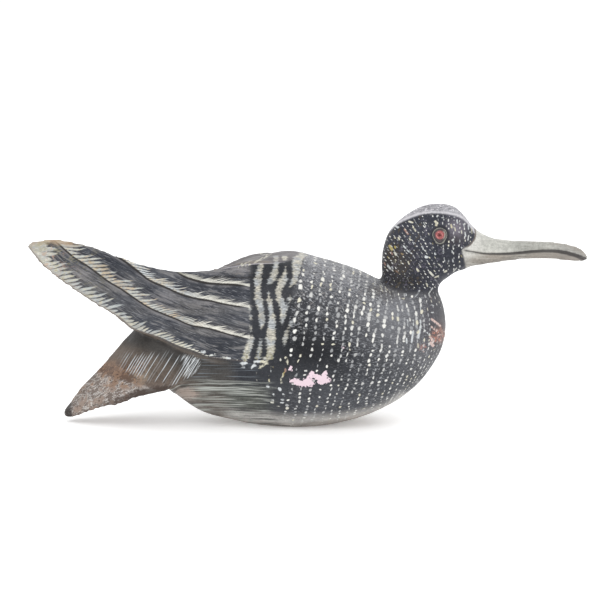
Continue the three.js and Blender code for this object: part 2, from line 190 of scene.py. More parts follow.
# How high each form of the fine carving stands, or how deep it is cut.
LAP = 0.4
LAP_GROOVE = 0.45
RIM_RISE = 0.5
RIM_GROOVE = 0.4
RIM_INSIDE = 4.8  # where that groove runs round the eye
EYE_SWELL = 0.6
SLIT_DEPTH = 0.75
WAVES = 0.22
KNIFE_MARKS = 0.1
UNDER_BILL = 0.9
TIP_ROUNDING = 1.5
TIP_CORNER = at(588, 261.4)
EDGE_RISE = 0.7
CHIP_DEPTH = 0.6
CHIP_SIZE = 4.5
# A low hump and a dip of the back: pixels across and down, then how high and half how wide.
BACK_FORMS = ((246, 262, 2.0, 28), (318, 258, -1.5, 20))


def course(points):
    """A smooth line through points, in short straight steps."""
    ends = np.vstack([2 * points[0] - points[1], points, 2 * points[-1] - points[-2]])
    steps = []
    for a, b, c, d in zip(ends[:-3], ends[1:-2], ends[2:-1], ends[3:]):
        t = np.linspace(0, 1, max(1, round(np.linalg.norm(c - b) / LINE_STEP)), endpoint=False)[:, None]
        bend = (2 * a - 5 * b + 4 * c - d) * t**2 + (3 * b - a - 3 * c + d) * t**3
        steps.append(b + ((c - a) * t + bend) / 2)
    return np.vstack(steps + [points[-1:]])


def beside(points, marks):
    """How far marks lie from a line, above one drawn forwards as positive, and how far along it."""
    line = course(points)
    nearest = np.full(len(marks), np.inf)
    across = np.zeros(len(marks))
    along = np.zeros(len(marks))
    passed = 0.0
    for start, end in zip(line[:-1], line[1:]):
        run = end - start
        length = np.linalg.norm(run)
        run = run / length
        off = marks - start
        t = np.clip(off @ run, 0, length)
        apart = np.hypot(off[:, 0] - t * run[0], off[:, 1] - t * run[1])
        closer = apart < nearest
        side = run[0] * off[:, 1] - run[1] * off[:, 0]
        nearest = np.where(closer, apart, nearest)
        across = np.where(closer, np.copysign(apart, side), across)
        along = np.where(closer, passed + t, along)
        passed += length
    return across, along, passed


def halved(mesh, chosen):
    """Cuts the edges between chosen vertices in half, for finer faces there."""
    fine = bmesh.new()
    fine.from_mesh(mesh)
    fine.verts.ensure_lookup_table()
    cut = [edge for edge in fine.edges if chosen[edge.verts[0].index] and chosen[edge.verts[1].index]]
    bmesh.ops.subdivide_edges(fine, edges=cut, cuts=1, use_grid_fill=True)
    fine.to_mesh(mesh)
    fine.free()
    return read(mesh.vertices, "co", 3).astype(float) / mm


for reach in (2.6, 1.3):
    marks = seen(places)
    on_bill = np.abs(beside(GAPE, marks)[0]) < reach
    near_eye = np.hypot(*(marks - EYE).T) < 5.5 + reach
    finer = on_bill | near_eye
    if reach > 2:
        for feather in FEATHER_LINES:
            finer |= np.abs(beside(feather, marks)[0]) < reach
        finer |= np.abs(beside(TAIL_EDGE, marks)[0]) < 2 * reach
        finer |= (np.abs(marks[:, 0] - HEAD_MIDDLE[0]) < 40) & (marks[:, 1] > HEAD_MIDDLE[1] - 42)
    places = halved(carving, finer)
links = read(carving.edges, "vertices", 2, np.int32)

marks = seen(places)
outward = normals_of(carving, places)
outer = eased(outward[:, 2], -0.55, -0.2)  # 0 on the undersides
feathers = [beside(line, marks) for line in FEATHER_LINES]
wing_edge = beside(WING_EDGE, marks)
gape = beside(GAPE, marks)
from_eye = np.hypot(*(marks - EYE).T)
cut = np.zeros(len(places))
drawn = []


def mound(off, half):
    """1 in the middle, falling smoothly to almost 0 at two half widths."""
    return np.exp(-((off / half) ** 2))


for across, along, length in feathers:
    shown = eased(along, 2, 14) * (1 - eased(along, length - 9, length)) * outer
    drawn.append(shown)
    laid = LAP * np.exp(-np.maximum(across, 0) / 4) * eased(across, -0.5, 0.5)
    cut += shown * (laid - LAP_GROOVE * mound(across + 0.7, 0.8))
cut += RIM_RISE * mound(from_eye - RIM, 1.0) - RIM_GROOVE * mound(from_eye - RIM_INSIDE, 0.7)
cut += EYE_SWELL * np.clip(1 - (from_eye / IRIS) ** 2, 0, 1)
on_beak = eased(gape[1], 0, 5)
before_tip = 1 - eased(gape[1], gape[2] - 7, gape[2] - 1)
cut -= SLIT_DEPTH * mound(gape[0], 0.7) * on_beak * (from_eye > 9) * before_tip


def rough(size):
    """Smooth random values between about -1 and 1, with lumps of a size in millimetres."""
    return np.array([noise.noise(Vector(place) / size) for place in places])


cut += WAVES * rough(17) + KNIFE_MARKS * rough(6)
upward = eased(outward[:, 2], 0.1, 0.8)
for across, down, rise, half in BACK_FORMS:
    middle = at(across, down)
    near_top = upward * (marks[:, 1] > middle[1] - 12)
    cut += rise * mound(marks[:, 0] - middle[0], half) * near_top
below = eased(-gape[0], 0.5, 2) * eased(gape[1], -8, 4) * eased(marks[:, 0], 118, 126)
cut += UNDER_BILL * below * before_tip
cut -= TIP_ROUNDING * mound(np.hypot(*(marks - TIP_CORNER).T), 2.6)
# The tail's edge stands out a little and is chipped.
tail_edge = beside(TAIL_EDGE, marks)
chipped = (1 - eased(np.abs(tail_edge[0]), 2, 7)) * (1 - eased(marks[:, 0], -95, -80))
cut += chipped * (EDGE_RISE - CHIP_DEPTH * rough(CHIP_SIZE))
places = places + outward * cut[:, None]
solid_box = np.array(cad_box) / mm
places = np.clip(places, *solid_box)
outward = normals_of(carving, places)
hollow = averaged(places, links, 0.5, 4) - places
hollow = averaged((hollow * outward).sum(1)[:, None], links, 0.5, 2)[:, 0]

# Where the paint goes
# The bird is painted freehand over a dark coat. Its plan is taken from the photograph once and
# laid on both sides: each vertex keeps how far it lies from every painted edge and stroke.
RIDGE = plan(
    (10, 224), (60, 229), (100, 242), (140, 256), (165, 263), (186, 269), (200, 271.5), (215, 269.6),
    (231, 267), (254, 263.8), (277, 262.7), (300, 260), (330, 262), (384, 284),
)
BARS_END = plan(
    (307, 250), (304, 262), (300, 274), (294, 288), (289, 306), (288, 330), (289, 350), (288, 380),
    (280, 424),
)
NECK = plan((380, 240), (381, 274), (386, 284), (396, 289), (414, 291), (440, 289))
BILL_BORDER = plan((473, 222), (475.5, 232), (474.5, 239), (469, 246), (462, 250), (464, 257), (466.5, 270))
CROWN = plan(
    (378, 256), (383, 243.5), (388, 234), (397, 225), (409, 219), (425, 214), (444, 214), (459.5, 217.5),
    (467, 223.6), (472, 230),
)
TAIL_BORDER = plan(
    (126, 322), (140, 332), (160, 343), (185, 352), (200, 359), (199, 372), (182, 381), (170, 388),
    (158, 400),
)
BELLY_TOP = plan((170, 385), (182, 380), (225, 379), (268, 380.5), (310, 383), (360, 384), (410, 382))
# The lowest band of the body, painted paler as painted bounce light from the floor.
FLOOR_RIM = plan((176, 396), (200, 403), (240, 412), (290, 417.5), (340, 416), (380, 408), (402, 395))
# Paint gone down to pink primer, on the right flank alone: pixels across, down and half the width.
BARE_PATCH = (
    ((291, 380.2, 2.1), (297, 382.2, 3.3), (302.4, 383.3, 3.5), (308.6, 382.6, 4.2), (312.4, 384.7, 2)),
    (
        (308.6, 380, 2.4), (309, 377.4, 2.1), (312.4, 373.8, 3), (314.4, 376.8, 2.1),
        (317.4, 377.6, 2.5), (321.4, 379.2, 4.2),
    ),
    ((318.8, 381.8, 2.4), (322.4, 379.9, 4.8), (325.8, 380.6, 3.4), (330.4, 379.7, 1.2)),
    ((323.4, 378, 3.8), (325, 373.6, 2.7)),
    ((290.8, 367.6, 2), (290.8, 369, 2)),
    ((342.4, 345.6, 1.1), (343.6, 348, 1.1)),
)
# Each bar: pixels across, down and half its width, from its top down.
BARS = (
    ((250, 307, 1.6), (250, 311, 1.6)),
    ((250.8, 316, 1.3), (250.8, 319, 1.2)),
    ((250.8, 327, 1.7), (250.8, 331, 1.7)),
    ((252, 337, 2), (250, 344, 4), (247, 352, 4.5), (245.5, 357, 4), (245, 359.5, 3.2)),
    (
        (261, 266, 3.2), (258, 276, 3.5), (257.5, 284, 3.7), (258, 296, 4), (259.6, 304, 3.6),
        (261, 311, 3.2), (262, 318, 3), (262, 324, 2.6), (261, 329, 1.2),
    ),
    ((260.8, 341, 1.6), (260, 347, 2.4), (258.7, 355, 2.8), (257.8, 358, 2.2)),
    ((276.5, 263, 2.5), (275, 271, 3.6), (273.5, 276, 3.6), (270.8, 281, 2.4), (268, 284, 1)),
    (
        (268.3, 292, 1.6), (269, 299, 2.2), (270.4, 304, 2.6), (270.8, 309, 2.6), (272, 316, 3.2),
        (272, 324, 4), (271, 332, 5.4), (270.8, 340, 5), (270.8, 353, 4.4), (268.3, 357.5, 4.2),
        (266.4, 360, 3.2),
    ),
    (
        (285.8, 267, 1), (285, 273, 2), (284, 278, 3.6), (281.7, 284, 4), (278.3, 290, 3.9),
        (279, 297, 3.5), (281.7, 303, 3.2), (283.8, 309, 4.4), (283, 314, 3.6), (282.5, 319, 2.2),
        (282, 323, 1),
    ),
    ((286.5, 332, 2.2), (285.5, 337, 2.2), (284.6, 341, 2), (284, 345, 1)),
    (
        (302, 254, 3.5), (297, 262, 5.5), (296.5, 268, 5), (296, 274, 3.8), (295, 279, 2.6),
        (292.5, 284, 2.2), (289.5, 287, 1.2),
    ),
    ((284.6, 257, 2.6), (284.6, 259, 2.6)),
    ((276, 258, 2.4), (276, 260, 2.4)),
    ((289.6, 296, 1.6), (289.6, 300, 1.6)),
    ((287, 304.6, 1.4), (287.6, 305, 1.4)),
    ((292.5, 320.8, 1.5), (290.8, 324, 1.5), (288.3, 329, 1.4)),
)
# Single dabs on the head, the breast and below the bars: the two ends in pixels, half the width
# and the tone, which is 0 for white, 0.4 for cream, 0.6 for olive, 0.9 for brown and 1.3 for rose.
DABS = (
    (241, 362.8, 246.8, 362.8, 2, 0.05), (241.4, 366.6, 244.6, 367.2, 1.9, 0.05),
    (254, 362.2, 258.6, 361.4, 2.2, 0.05), (252.8, 366, 255.4, 365.4, 2, 0.1),
    (251, 369, 252, 368.6, 1.7, 0.1), (262, 361.4, 267, 363.2, 2.5, 0.4),
    (259.6, 365.2, 263.2, 365.8, 1.7, 0.45), (259, 368, 261, 367.6, 1.4, 0.45),
    (256.8, 372.2, 257.4, 375, 1.2, 0.3), (256.6, 380, 256.8, 381, 1.1, 0.3),
    (270.8, 366.2, 271, 367.8, 1.4, 0.3), (271.2, 371, 271.2, 372.2, 1.4, 0.1),
    (269, 376.4, 269.6, 377.4, 1.4, 0.6), (269, 380, 269.4, 381.4, 1.6, 0.55),
    (267.4, 386, 268.2, 386.8, 2.3, 0.1), (280.4, 358.6, 280.6, 360.8, 1.6, 0.3),
    (273, 367, 273.2, 368, 1.2, 0.8), (285.6, 357.4, 287.2, 359, 2, 0.45),
    (287, 361.6, 287.4, 363.6, 2, 0.5), (285.2, 368.6, 285.8, 372, 1.7, 0.9),
    (282.4, 373.4, 283, 376.4, 1.6, 0.55), (281.2, 379, 281.4, 381, 1.7, 0.5),
    (281.4, 382.8, 281.8, 384, 1.7, 0.3), (279.2, 388.6, 280.2, 389.8, 2.5, 0.05),
    (272.8, 393.6, 274.8, 395.8, 1.6, 0.05), (283.2, 394, 284.8, 395.4, 1.7, 0.1),
    (270.6, 399.4, 274, 399.8, 1.4, 0.2), (281.2, 399.4, 284.8, 399.8, 1.4, 0.1),
    (271, 402.4, 273.6, 402.6, 1.4, 0.3), (281, 402.6, 283.4, 402.8, 1.6, 0.1),
    (277, 405.8, 279.8, 406.4, 1.2, 0.3), (201, 351.4, 205, 352, 2.2, 0.1),
    (209.6, 355.4, 216, 354.4, 1.7, 0.2), (221.4, 357, 226.4, 357.4, 1.9, 0.25),
    (226.6, 358, 230.6, 358.6, 1.7, 0.15), (395.5, 226, 398, 227.5, 1.6, 0.1),
    (404.5, 229.5, 408, 234, 1.7, 0.95), (409, 221.5, 412.5, 222.5, 1.5, 0.4),
    (413, 227, 415.6, 231, 1.3, 0.5), (417.4, 232, 420.4, 237.2, 0.7, 0.8),
    (421, 238.6, 421.4, 238.8, 1.3, 0.1), (394.2, 237.4, 395.4, 238.2, 1.2, 0.4),
    (398.4, 237.6, 399.4, 239.6, 1.5, 0.45), (409.4, 238.4, 410.8, 240.4, 1.4, 0.35),
    (412.8, 242.2, 414.2, 244.6, 1.0, 0.1), (416.2, 246, 416.8, 246.6, 1.1, 0.0),
    (403.6, 246, 405.6, 248, 1.5, 0.15), (407.2, 250, 409, 252, 1.3, 0.1),
    (411, 253, 411.8, 253.8, 1.2, 0.05), (413, 255.4, 414.6, 258, 0.9, 0.2),
    (389.6, 246, 392, 249.4, 2.2, 0.62), (394.6, 246.4, 395.6, 248, 1.4, 0.7),
    (391, 252.4, 392.4, 254.4, 1.3, 1.0), (394.6, 252.6, 396, 255, 1.7, 0.3),
    (401, 253.4, 403, 254.4, 1.2, 0.8), (401, 262.8, 402, 263.4, 1.2, 0.5),
    (394.4, 261, 395.6, 262.2, 1.0, 0.5), (387.4, 256.6, 388.8, 258.8, 0.9, 0.7),
    (384, 262.6, 385.4, 265, 1.2, 0.9), (387.8, 265.6, 390.2, 268.6, 1.7, 0.2),
    (391.8, 266.8, 393, 269, 1.0, 0.1), (396, 270.8, 398, 272.4, 1.2, 0.85),
    (408, 261.4, 409.2, 264.2, 1.1, 0.4), (410, 269.6, 410.8, 270.6, 0.7, 0.3),
    (419.4, 265, 420.8, 267, 1.1, 0.3), (417, 269, 418.4, 271, 1.7, 0.5),
    (421.8, 245.8, 423.4, 249.6, 1.2, 0.15), (425.4, 256.6, 427.4, 257.2, 2.0, 0.05),
    (427.8, 261.4, 428.4, 263.2, 0.9, 0.2), (436.8, 216.3, 437.2, 216.8, 1.3, 0.0),
    (441.6, 217.8, 443.8, 217.8, 1.0, 0.15), (454.2, 217, 455, 217.4, 1.0, 0.1),
    (423.6, 222.4, 425.6, 226.4, 1.1, 0.2), (435.4, 221.6, 437.2, 223.4, 2.0, 0.45),
    (435.6, 225, 436.8, 226, 1.4, 0.55), (457, 219.8, 457.4, 223, 1.3, 0.1),
    (451, 224.6, 451.8, 227.6, 1.5, 0.55), (454.4, 227.2, 455.4, 230.6, 1.2, 0.4),
    (452.2, 240.4, 453.4, 239.4, 1.4, 0.2), (452.8, 245.4, 453.2, 247.8, 0.8, 0.2),
    (443.4, 250.6, 443.6, 252.6, 1.1, 0.05), (452, 250.8, 452.4, 252.4, 1.4, 0.0),
    (434.6, 253.2, 435.4, 254.6, 1.4, 0.1), (444.2, 257.8, 444.6, 261.8, 0.9, 0.2),
    (452.4, 258.6, 453, 261.8, 1.0, 0.0), (432.8, 242.4, 433.2, 244.6, 1.0, 0.65),
    (444.6, 271.8, 446.4, 271, 1.6, 0.35), (438, 263.4, 441.4, 267, 1.0, 0.3),
    (430, 272.2, 433, 275.6, 1.8, 0.3), (434.8, 277.6, 438.6, 276, 1.2, 0.4),
    (453.2, 271.8, 456.6, 268, 0.9, 0.25), (460.6, 255, 462, 257.2, 0.9, 0.6),
    (461.2, 247.4, 461.8, 248, 1.2, 0.0), (463.4, 224, 464.4, 227, 1.0, 0.1),
    (468.2, 225.4, 468.6, 229, 1.1, 0.05), (461.4, 230.6, 461.8, 233.4, 1.1, 0.3),
    (465.2, 232.6, 465.6, 236.4, 1.2, 0.15), (468.6, 235.6, 468, 240, 1.2, 0.2),
    (471.4, 228, 472, 233.6, 0.9, 0.5), (426.4, 283.4, 427.6, 286.4, 1.2, 0.45),
    (432.6, 288, 428.6, 294, 1.2, 0.2), (411, 284.2, 412.4, 285, 0.9, 0.25),
    (413.4, 288.4, 414.4, 290, 0.8, 0.25), (405.2, 293.8, 405.8, 295, 1.9, 0.05),
    (415, 296.6, 419.6, 290.6, 1.3, 0.05), (402.4, 298.4, 404, 298.8, 1.6, 0.4),
    (421.6, 298, 419.6, 302.5, 1.5, 0.1), (373, 283, 374.8, 288, 0.9, 0.4),
    (380, 285.2, 383, 291.8, 0.9, 0.4), (385, 287, 391, 294, 0.9, 0.4), (376.6, 291, 378, 294, 0.8, 0.3),
    (404.6, 276, 405.4, 277, 0.7, 0.3), (421.6, 276.6, 422.2, 278.6, 0.7, 0.2),
    (433.6, 263.8, 434.2, 265.8, 0.8, 0.35), (430, 304.8, 436, 306, 1.0, 0.05),
    (431, 312.3, 433.4, 312.8, 1.3, 0.05), (435.5, 312.8, 437.4, 313.6, 1.0, 0.1),
    (431.5, 319, 439.8, 325.4, 1.8, 1.3), (430.4, 326, 437, 331.5, 1.5, 1.3),
    (423.8, 329.5, 430.8, 336, 1.2, 0.1), (437, 329, 445, 333, 1.3, 0.95),
    (438, 335.6, 446, 330.6, 1.3, 1.3), (440.6, 327.4, 442.4, 335, 1.3, 0.95),
    (430, 336.8, 433.6, 340.8, 1.8, 1.3), (431, 343, 433, 345.6, 2.6, 1.3),
    (436.6, 338, 437.4, 342.6, 0.8, 0.95), (418, 344, 418.4, 347.6, 1.4, 0.4),
    (423, 345.6, 423.6, 346.4, 1.3, 0.4), (421.6, 350.6, 424.4, 352, 1.2, 1.3),
    (431.2, 298, 431.8, 298.4, 1.0, 1.3), (420.6, 326, 418.2, 338, 1.8, 0.1),
    (420.2, 319.6, 420.6, 323, 1.6, 0.1), (420.2, 306, 421, 313, 1.1, 0.1),
    (413.2, 331, 411.6, 342.5, 1.7, 0.1), (413, 319, 413.6, 326, 1.2, 0.1),
    (406.6, 338, 406.6, 343.5, 1.6, 0.1), (407.4, 319.6, 408.2, 326, 1.3, 0.05),
    (410.4, 347.6, 410.6, 349.6, 1.5, 0.1), (415.6, 360, 418.4, 361.6, 0.9, 0.2),
    (432.6, 351, 436.6, 347.4, 0.8, 0.4), (557, 244, 558.4, 244.4, 0.8, 0.95),
    (572.6, 248.6, 574.4, 249.2, 0.8, 0.95), (515, 253, 515.4, 253, 0.8, 0.6),
    (446, 224, 446.4, 226.6, 0.8, 0.3), (428.6, 233, 429.4, 236, 0.7, 0.3),
    (447.4, 262.4, 447.8, 265, 0.7, 0.3),
)
DAB_SHARE = 0.72
BAR_SHARE = 0.92
# A twisted line of slanted strokes along the top of the back, placed in pixels.
ROPE_STROKES = 12
ROPE_START = (240.8, 265)
ROPE_RUN = (28, -10)
ROPE_SAG = 1.6
ROPE_REACH = np.array([1.7, 1.7])
ROPE_HALF = 0.7
ROPE_TONE = 0.35
# Where the columns of dabs stand on the body, in pixels, all at one height.
COLUMN_HEIGHT = 320
COLUMNS = (
    272, 284, 296, 306.7, 316.7, 326.7, 336.4, 346.1, 353.4, 361, 369, 377, 385.5, 393, 399.5, 406, 412.5,
    419, 425.5,
)
FRONT_PITCH = 5.6  # past the last column, round the breast
BREAST_MIDDLE = 60.0  # the breast is rounded about an upright line here
BREAST_RADIUS = 49.0
SPINE_HEIGHT = 52.0
ROW_PITCH = 4.2
FLANK_RADIUS = 65.0
LEAN = 0.14  # how much the columns lean back on their way down
LOWER_LEAN = 0.13  # how much more they do so on the lower flank
PIXEL = SEEN_WIDTH / PHOTO_WIDTH  # the width of one pixel on the middle plane
OUTSIDE = 12.0  # as far outside a stroke as is told
FAR = 50.0  # added to the distance of wood that faces away, so that the rope keeps off it
GRAZING = 0.0276  # the rope keeps to wood that faces outwards by more than this


def depth_in(points, start, end, wide, wider):
    """How deep points lie inside a stroke with round ends that is half so wide at each end."""
    run = end - start
    t = np.clip((points - start) @ run / (run @ run + 1e-9), 0, 1)
    return wide + (wider - wide) * t - np.linalg.norm(points - start - t[:, None] * run, axis=1)


def stroked(strokes):
    """How deep vertices lie inside the nearest of some strokes, and its tone."""
    depth = np.full(len(marks), -OUTSIDE)
    tone = np.zeros(len(marks))
    for *stroke, shade in strokes:
        deep = depth_in(marks, *stroke)
        tone = np.where(deep > depth, shade, tone)
        depth = np.maximum(depth, deep)
    return depth, tone


def chained(chains, share):
    """How deep vertices lie inside chains of strokes, each drawn at a share of its width."""
    strokes = []
    for chain in chains:
        for (x1, y1, w1), (x2, y2, w2) in zip(chain[:-1], chain[1:]):
            start, end = plan((x1, y1), (x2, y2))
            strokes.append((start, end, share * w1 * PIXEL, share * w2 * PIXEL, 0))
    return stroked(strokes)[0]


def put(name, *values):
    """Keeps three or four numbers of each vertex in the mesh, under a name."""
    kind, part = ("FLOAT_VECTOR", "vector") if len(values) == 3 else ("FLOAT_COLOR", "color")
    values = np.stack(values, 1).astype(np.float32).ravel()
    carving.attributes.new(name, kind, "POINT").data.foreach_set(part, values)


marks = seen(places)


def near(across, down, wide, tall):
    """1 at a pixel of the photograph, falling to 0 about a width and a height from it."""
    off = (marks - at(across, down)) / (wide * PIXEL, tall * PIXEL)
    return np.exp(-(off**2).sum(1))


bar_depth = chained(BARS, BAR_SHARE)
bare = np.where(places[:, 1] < 0, chained(BARE_PATCH, 1), -OUTSIDE)
dabs = []
for x1, y1, x2, y2, half, tone in DABS:
    half = half * DAB_SHARE * PIXEL
    dabs.append((*plan((x1, y1), (x2, y2)), half, half, tone))
dab_depth, dab_tone = stroked(dabs)
facing = outward[:, 1] * np.sign(places[:, 1])  # 1 where the wood faces straight out
one_side = np.column_stack([places[:, 0], np.abs(places[:, 1]), places[:, 2]])
for part in np.linspace(0, 1, ROPE_STROKES):
    down = ROPE_START[1] + ROPE_RUN[1] * part + ROPE_SAG * math.sin(math.pi * part)
    middle = at(ROPE_START[0] + ROPE_RUN[0] * part, down)
    ends = []
    for end in (middle - ROPE_REACH, middle + ROPE_REACH):
        apart = np.hypot(*(marks - end).T) + FAR * (facing < GRAZING)
        ends.append(one_side[np.argmin(apart)])
    deep = depth_in(one_side, *ends, ROPE_HALF, ROPE_HALF)
    dab_tone = np.where(deep > dab_depth, ROPE_TONE, dab_tone)
    dab_depth = np.maximum(dab_depth, deep)

ridge = beside(RIDGE, marks)[0] / np.clip(facing, 0.12, 1)
bars_end = beside(BARS_END, marks)[0]
neck = beside(NECK, marks)[0]
bill = beside(BILL_BORDER, marks)[0]
crown = beside(CROWN, marks)[0]
tail = -beside(TAIL_BORDER, marks)[0]
belly = -beside(BELLY_TOP, marks)[0]
rim = -beside(FLOOR_RIM, marks)[0]
across_x, height = marks.T

# The dabs stand in columns that lean back going down and meet in front, and in rows round the body.
round_front = np.arctan2(places[:, 0] - BREAST_MIDDLE, np.abs(places[:, 1]))
seen_wider = (across_x - LOOKED_AT[0]) / np.maximum(places[:, 0] - LOOKED_AT[0], BREAST_MIDDLE)
turning = LOOKED_AT[0] + (BREAST_MIDDLE - LOOKED_AT[0]) * seen_wider
unrolled = np.where(places[:, 0] > BREAST_MIDDLE, turning + BREAST_RADIUS * round_front, across_x)
column_at = plan(*[(x, COLUMN_HEIGHT) for x in COLUMNS])
low = column_at[0, 1] - height
lean = LEAN * low + LOWER_LEAN * np.maximum(low - 25, 0)
sine = np.clip((column_at[:, 0] - BREAST_MIDDLE) / BREAST_RADIUS, 0, 1)
stations = np.where(sine > 0, BREAST_MIDDLE + BREAST_RADIUS * np.arcsin(sine), column_at[:, 0])
stations = np.append(stations, stations[-1] + FRONT_PITCH * np.arange(1, 20))
column = np.interp(unrolled + lean, stations, np.arange(len(stations)))
past_spine = np.maximum(places[:, 0] - BREAST_MIDDLE, 0)
from_spine = np.hypot(places[:, 1], past_spine)
girth = np.arctan2(from_spine, places[:, 2] - SPINE_HEIGHT)
row = FLANK_RADIUS * girth / ROW_PITCH

on_body = eased(bars_end, -1.5, 1.5) * (1 - eased(neck, -3.5, -1))
top = eased(outward[:, 2], 0.55, 0.85) * on_body
under = eased(-outward[:, 2], 0.8, 0.97)
size = on_body * (1 - 0.9 * under) * (1 - 0.08 * eased(low, 30, 60)) * (1 + 0.1 * top)
size = size * (1 - 0.3 * near(312, 345, 34, 50)) * (1 + 0.12 * near(388, 322, 30, 22))
size = size * (0.96 + 0.3 * mound(low - 3, 14)) * (1 - 0.95 * near(440, 320, 12, 22))
# Smaller dabs stand on the head, in slanting columns behind a leaning seam through the eye and
# upright ones before it. Their pitch is told from column to column and from row to row.
SEAM_LEAN = 0.25
HEAD_SLANT = 0.7
BEHIND_PITCH = (4.2, 2.8)
BEFORE_PITCH = (4.4, 3.4)
drop = at(400, 216)[1] - height
from_seam = across_x - SEAM_LEAN * drop - at(428, 216)[0]
behind_eye = from_seam < 0
slanted = across_x - HEAD_SLANT * drop
head_column = np.where(behind_eye, slanted / BEHIND_PITCH[0], across_x / BEFORE_PITCH[0])
head_row = np.where(behind_eye, drop / BEHIND_PITCH[1], drop / BEFORE_PITCH[1])
free = (crown < -0.8) * (bill < -1.5) * (from_eye > 8.2) * (np.abs(from_seam) > 1.3)
head_size = 0.74 * eased(neck, 0.5, 2) * free
head_size = head_size * (1 - 0.7 * near(404, 282, 17, 9)) * (1 - 0.45 * near(413, 262, 11, 15))
on_head = neck > -0.75
column = np.where(on_head, head_column, column)
row = np.where(on_head, head_row, row)
size = np.where(on_head, head_size, size)
on_wing = eased(wing_edge[0], -1.0, 0.6) * (1 - eased(across_x, -50, -45))
on_wing = on_wing * (1 - eased(ridge, -1, 0.5) * eased(across_x, -86, -72))
on_wing = on_wing * outer


def combed(points, found, knots):
    """The number of the stroke each vertex lies on, counted along a feather's lower edge."""
    across, along, _ = found
    line = course(points)
    passed = np.concatenate([[0], np.cumsum(np.linalg.norm(np.diff(line, axis=0), axis=1))])
    knot_x = plan(*[(x, 0) for x, _, _ in knots])[:, 0]
    spread = np.interp(line[:, 0], knot_x, [pitch for _, _, pitch in knots])
    counted = np.concatenate([[0], np.cumsum(np.diff(passed) / (spread[1:] + spread[:-1]) * 2)])
    angle = np.radians(np.interp(across_x, knot_x, [slant for _, slant, _ in knots]))
    start = along - across / np.tan(angle)
    slope = np.clip(start - passed[-1], 0, None) / spread[-1] + np.clip(start, None, 0) / spread[0]
    return np.interp(start, passed, counted) + slope


# Where the strokes leave each feather's edge: pixels across, their slant to the edge and their pitch.
COMBS = (
    ((170, 30, 1.9), (250, 16, 2.2)),
    ((95, 34, 4.4), (130, 28, 4.0), (170, 28, 2.6), (250, 22, 1.6)),
    ((50, 38, 4.8), (125, 38, 4.6), (160, 38, 3.0), (200, 30, 1.9), (250, 26, 1.6)),
    ((24, 50, 5.0), (60, 50, 4.6), (120, 48, 4.3), (160, 42, 3.7), (200, 32, 3.0), (246, 24, 2.8)),
)
counts = [
    combed(line, found, knots)
    for line, found, knots in zip(FEATHER_LINES + [WING_EDGE], feathers + [wing_edge], COMBS)
]

put("combs", *counts)
put("dab_grid", column, row, size)
FIELDS = {
    "feather_lines": {"line_a": feathers[0][0], "line_b": feathers[1][0], "line_c": feathers[2][0]},
    "feather_drawn": {"drawn_a": drawn[0], "drawn_b": drawn[1], "drawn_c": drawn[2]},
    "wing": {"line_d": wing_edge[0], "wing": on_wing, "tail_rim": tail_edge[0]},
    "painted": {"bar": bar_depth, "dab": dab_depth, "tone": dab_tone},
    "head": {"neck": neck, "crown": crown, "bill": bill},
    "back": {"ridge": ridge, "tail": tail, "belly": belly},
    "beak": {"gape": gape[0], "on_beak": on_beak, "hollow": hollow},
    "on_plan": {"x": across_x, "y": places[:, 1], "z": height},
    "worn": {
        "bare": bare,
        "front": near(438, 336, 9, 8) + 0.7 * near(422, 347, 7, 5),
        "stern": near(186, 394, 14, 8),
    },
}
for name, parts in FIELDS.items():
    put(name, *parts.values())

# The coats of paint
# Oil paint brushed on bare wood: a dark slate coat, thin greys and browns over it, then the white
# strokes. These are the soft colours underneath, one for each vertex, with painted sheen, painted
# shade and painted bounce light laid among them where marked.


def linear(colour):
    """An sRGB hex colour as the shader wants it."""
    parts = [int(colour[place : place + 2], 16) / 255 for place in (1, 3, 5)]
    return tuple(c / 12.92 if c <= 0.04045 else ((c + 0.055) / 1.055) ** 2.4 for c in parts) + (1.0,)


paint_and_painted_light = np.tile(linear("#25272c"), (len(places), 1))
lower_flank = eased(low, 26, 70) * (1 - eased(-across_x, 20, 40))
in_tail = eased(tail, -1.2, 1.2) * (1 - eased(wing_edge[0], -1.5, 0.5))
in_tail = np.maximum(in_tail, eased(-across_x, 100, 106) * (wing_edge[0] < -1))
tail_border = 1 - eased(tail_edge[0], 1.5, 4.5)
tail_foot = (1 - eased(height + 0.12 * across_x, 10, 17)) * (1 - eased(across_x, -150, -138))
rump = eased(-wing_edge[0], -0.5, 1) * eased(-across_x, 55, 70) * eased(height, 25, 32)
head_part = eased(neck, -2, 1)
back_line = eased(ridge, 0.2, 1.4) * (1 - eased(across_x, 0, 25)) * eased(across_x, -88, -66)
brow = eased(crown, -0.6, 0.6) * head_part
beak_part = eased(bill, -0.6, 0.6)
above_gape = eased(gape[0], -0.4, 0.4)
to_tip = np.clip(gape[1] / gape[2], 0, 1)
wing_light = near(236, 269, 30, 5) + 0.7 * near(214, 303, 24, 3.5) + 0.5 * near(165, 297, 16, 6)
wing_dark = near(59, 255, 8, 6) + 0.6 * near(104, 262, 14, 8) + 0.4 * near(222, 294, 24, 5)
wing_dark += near(222, 348, 20, 6)
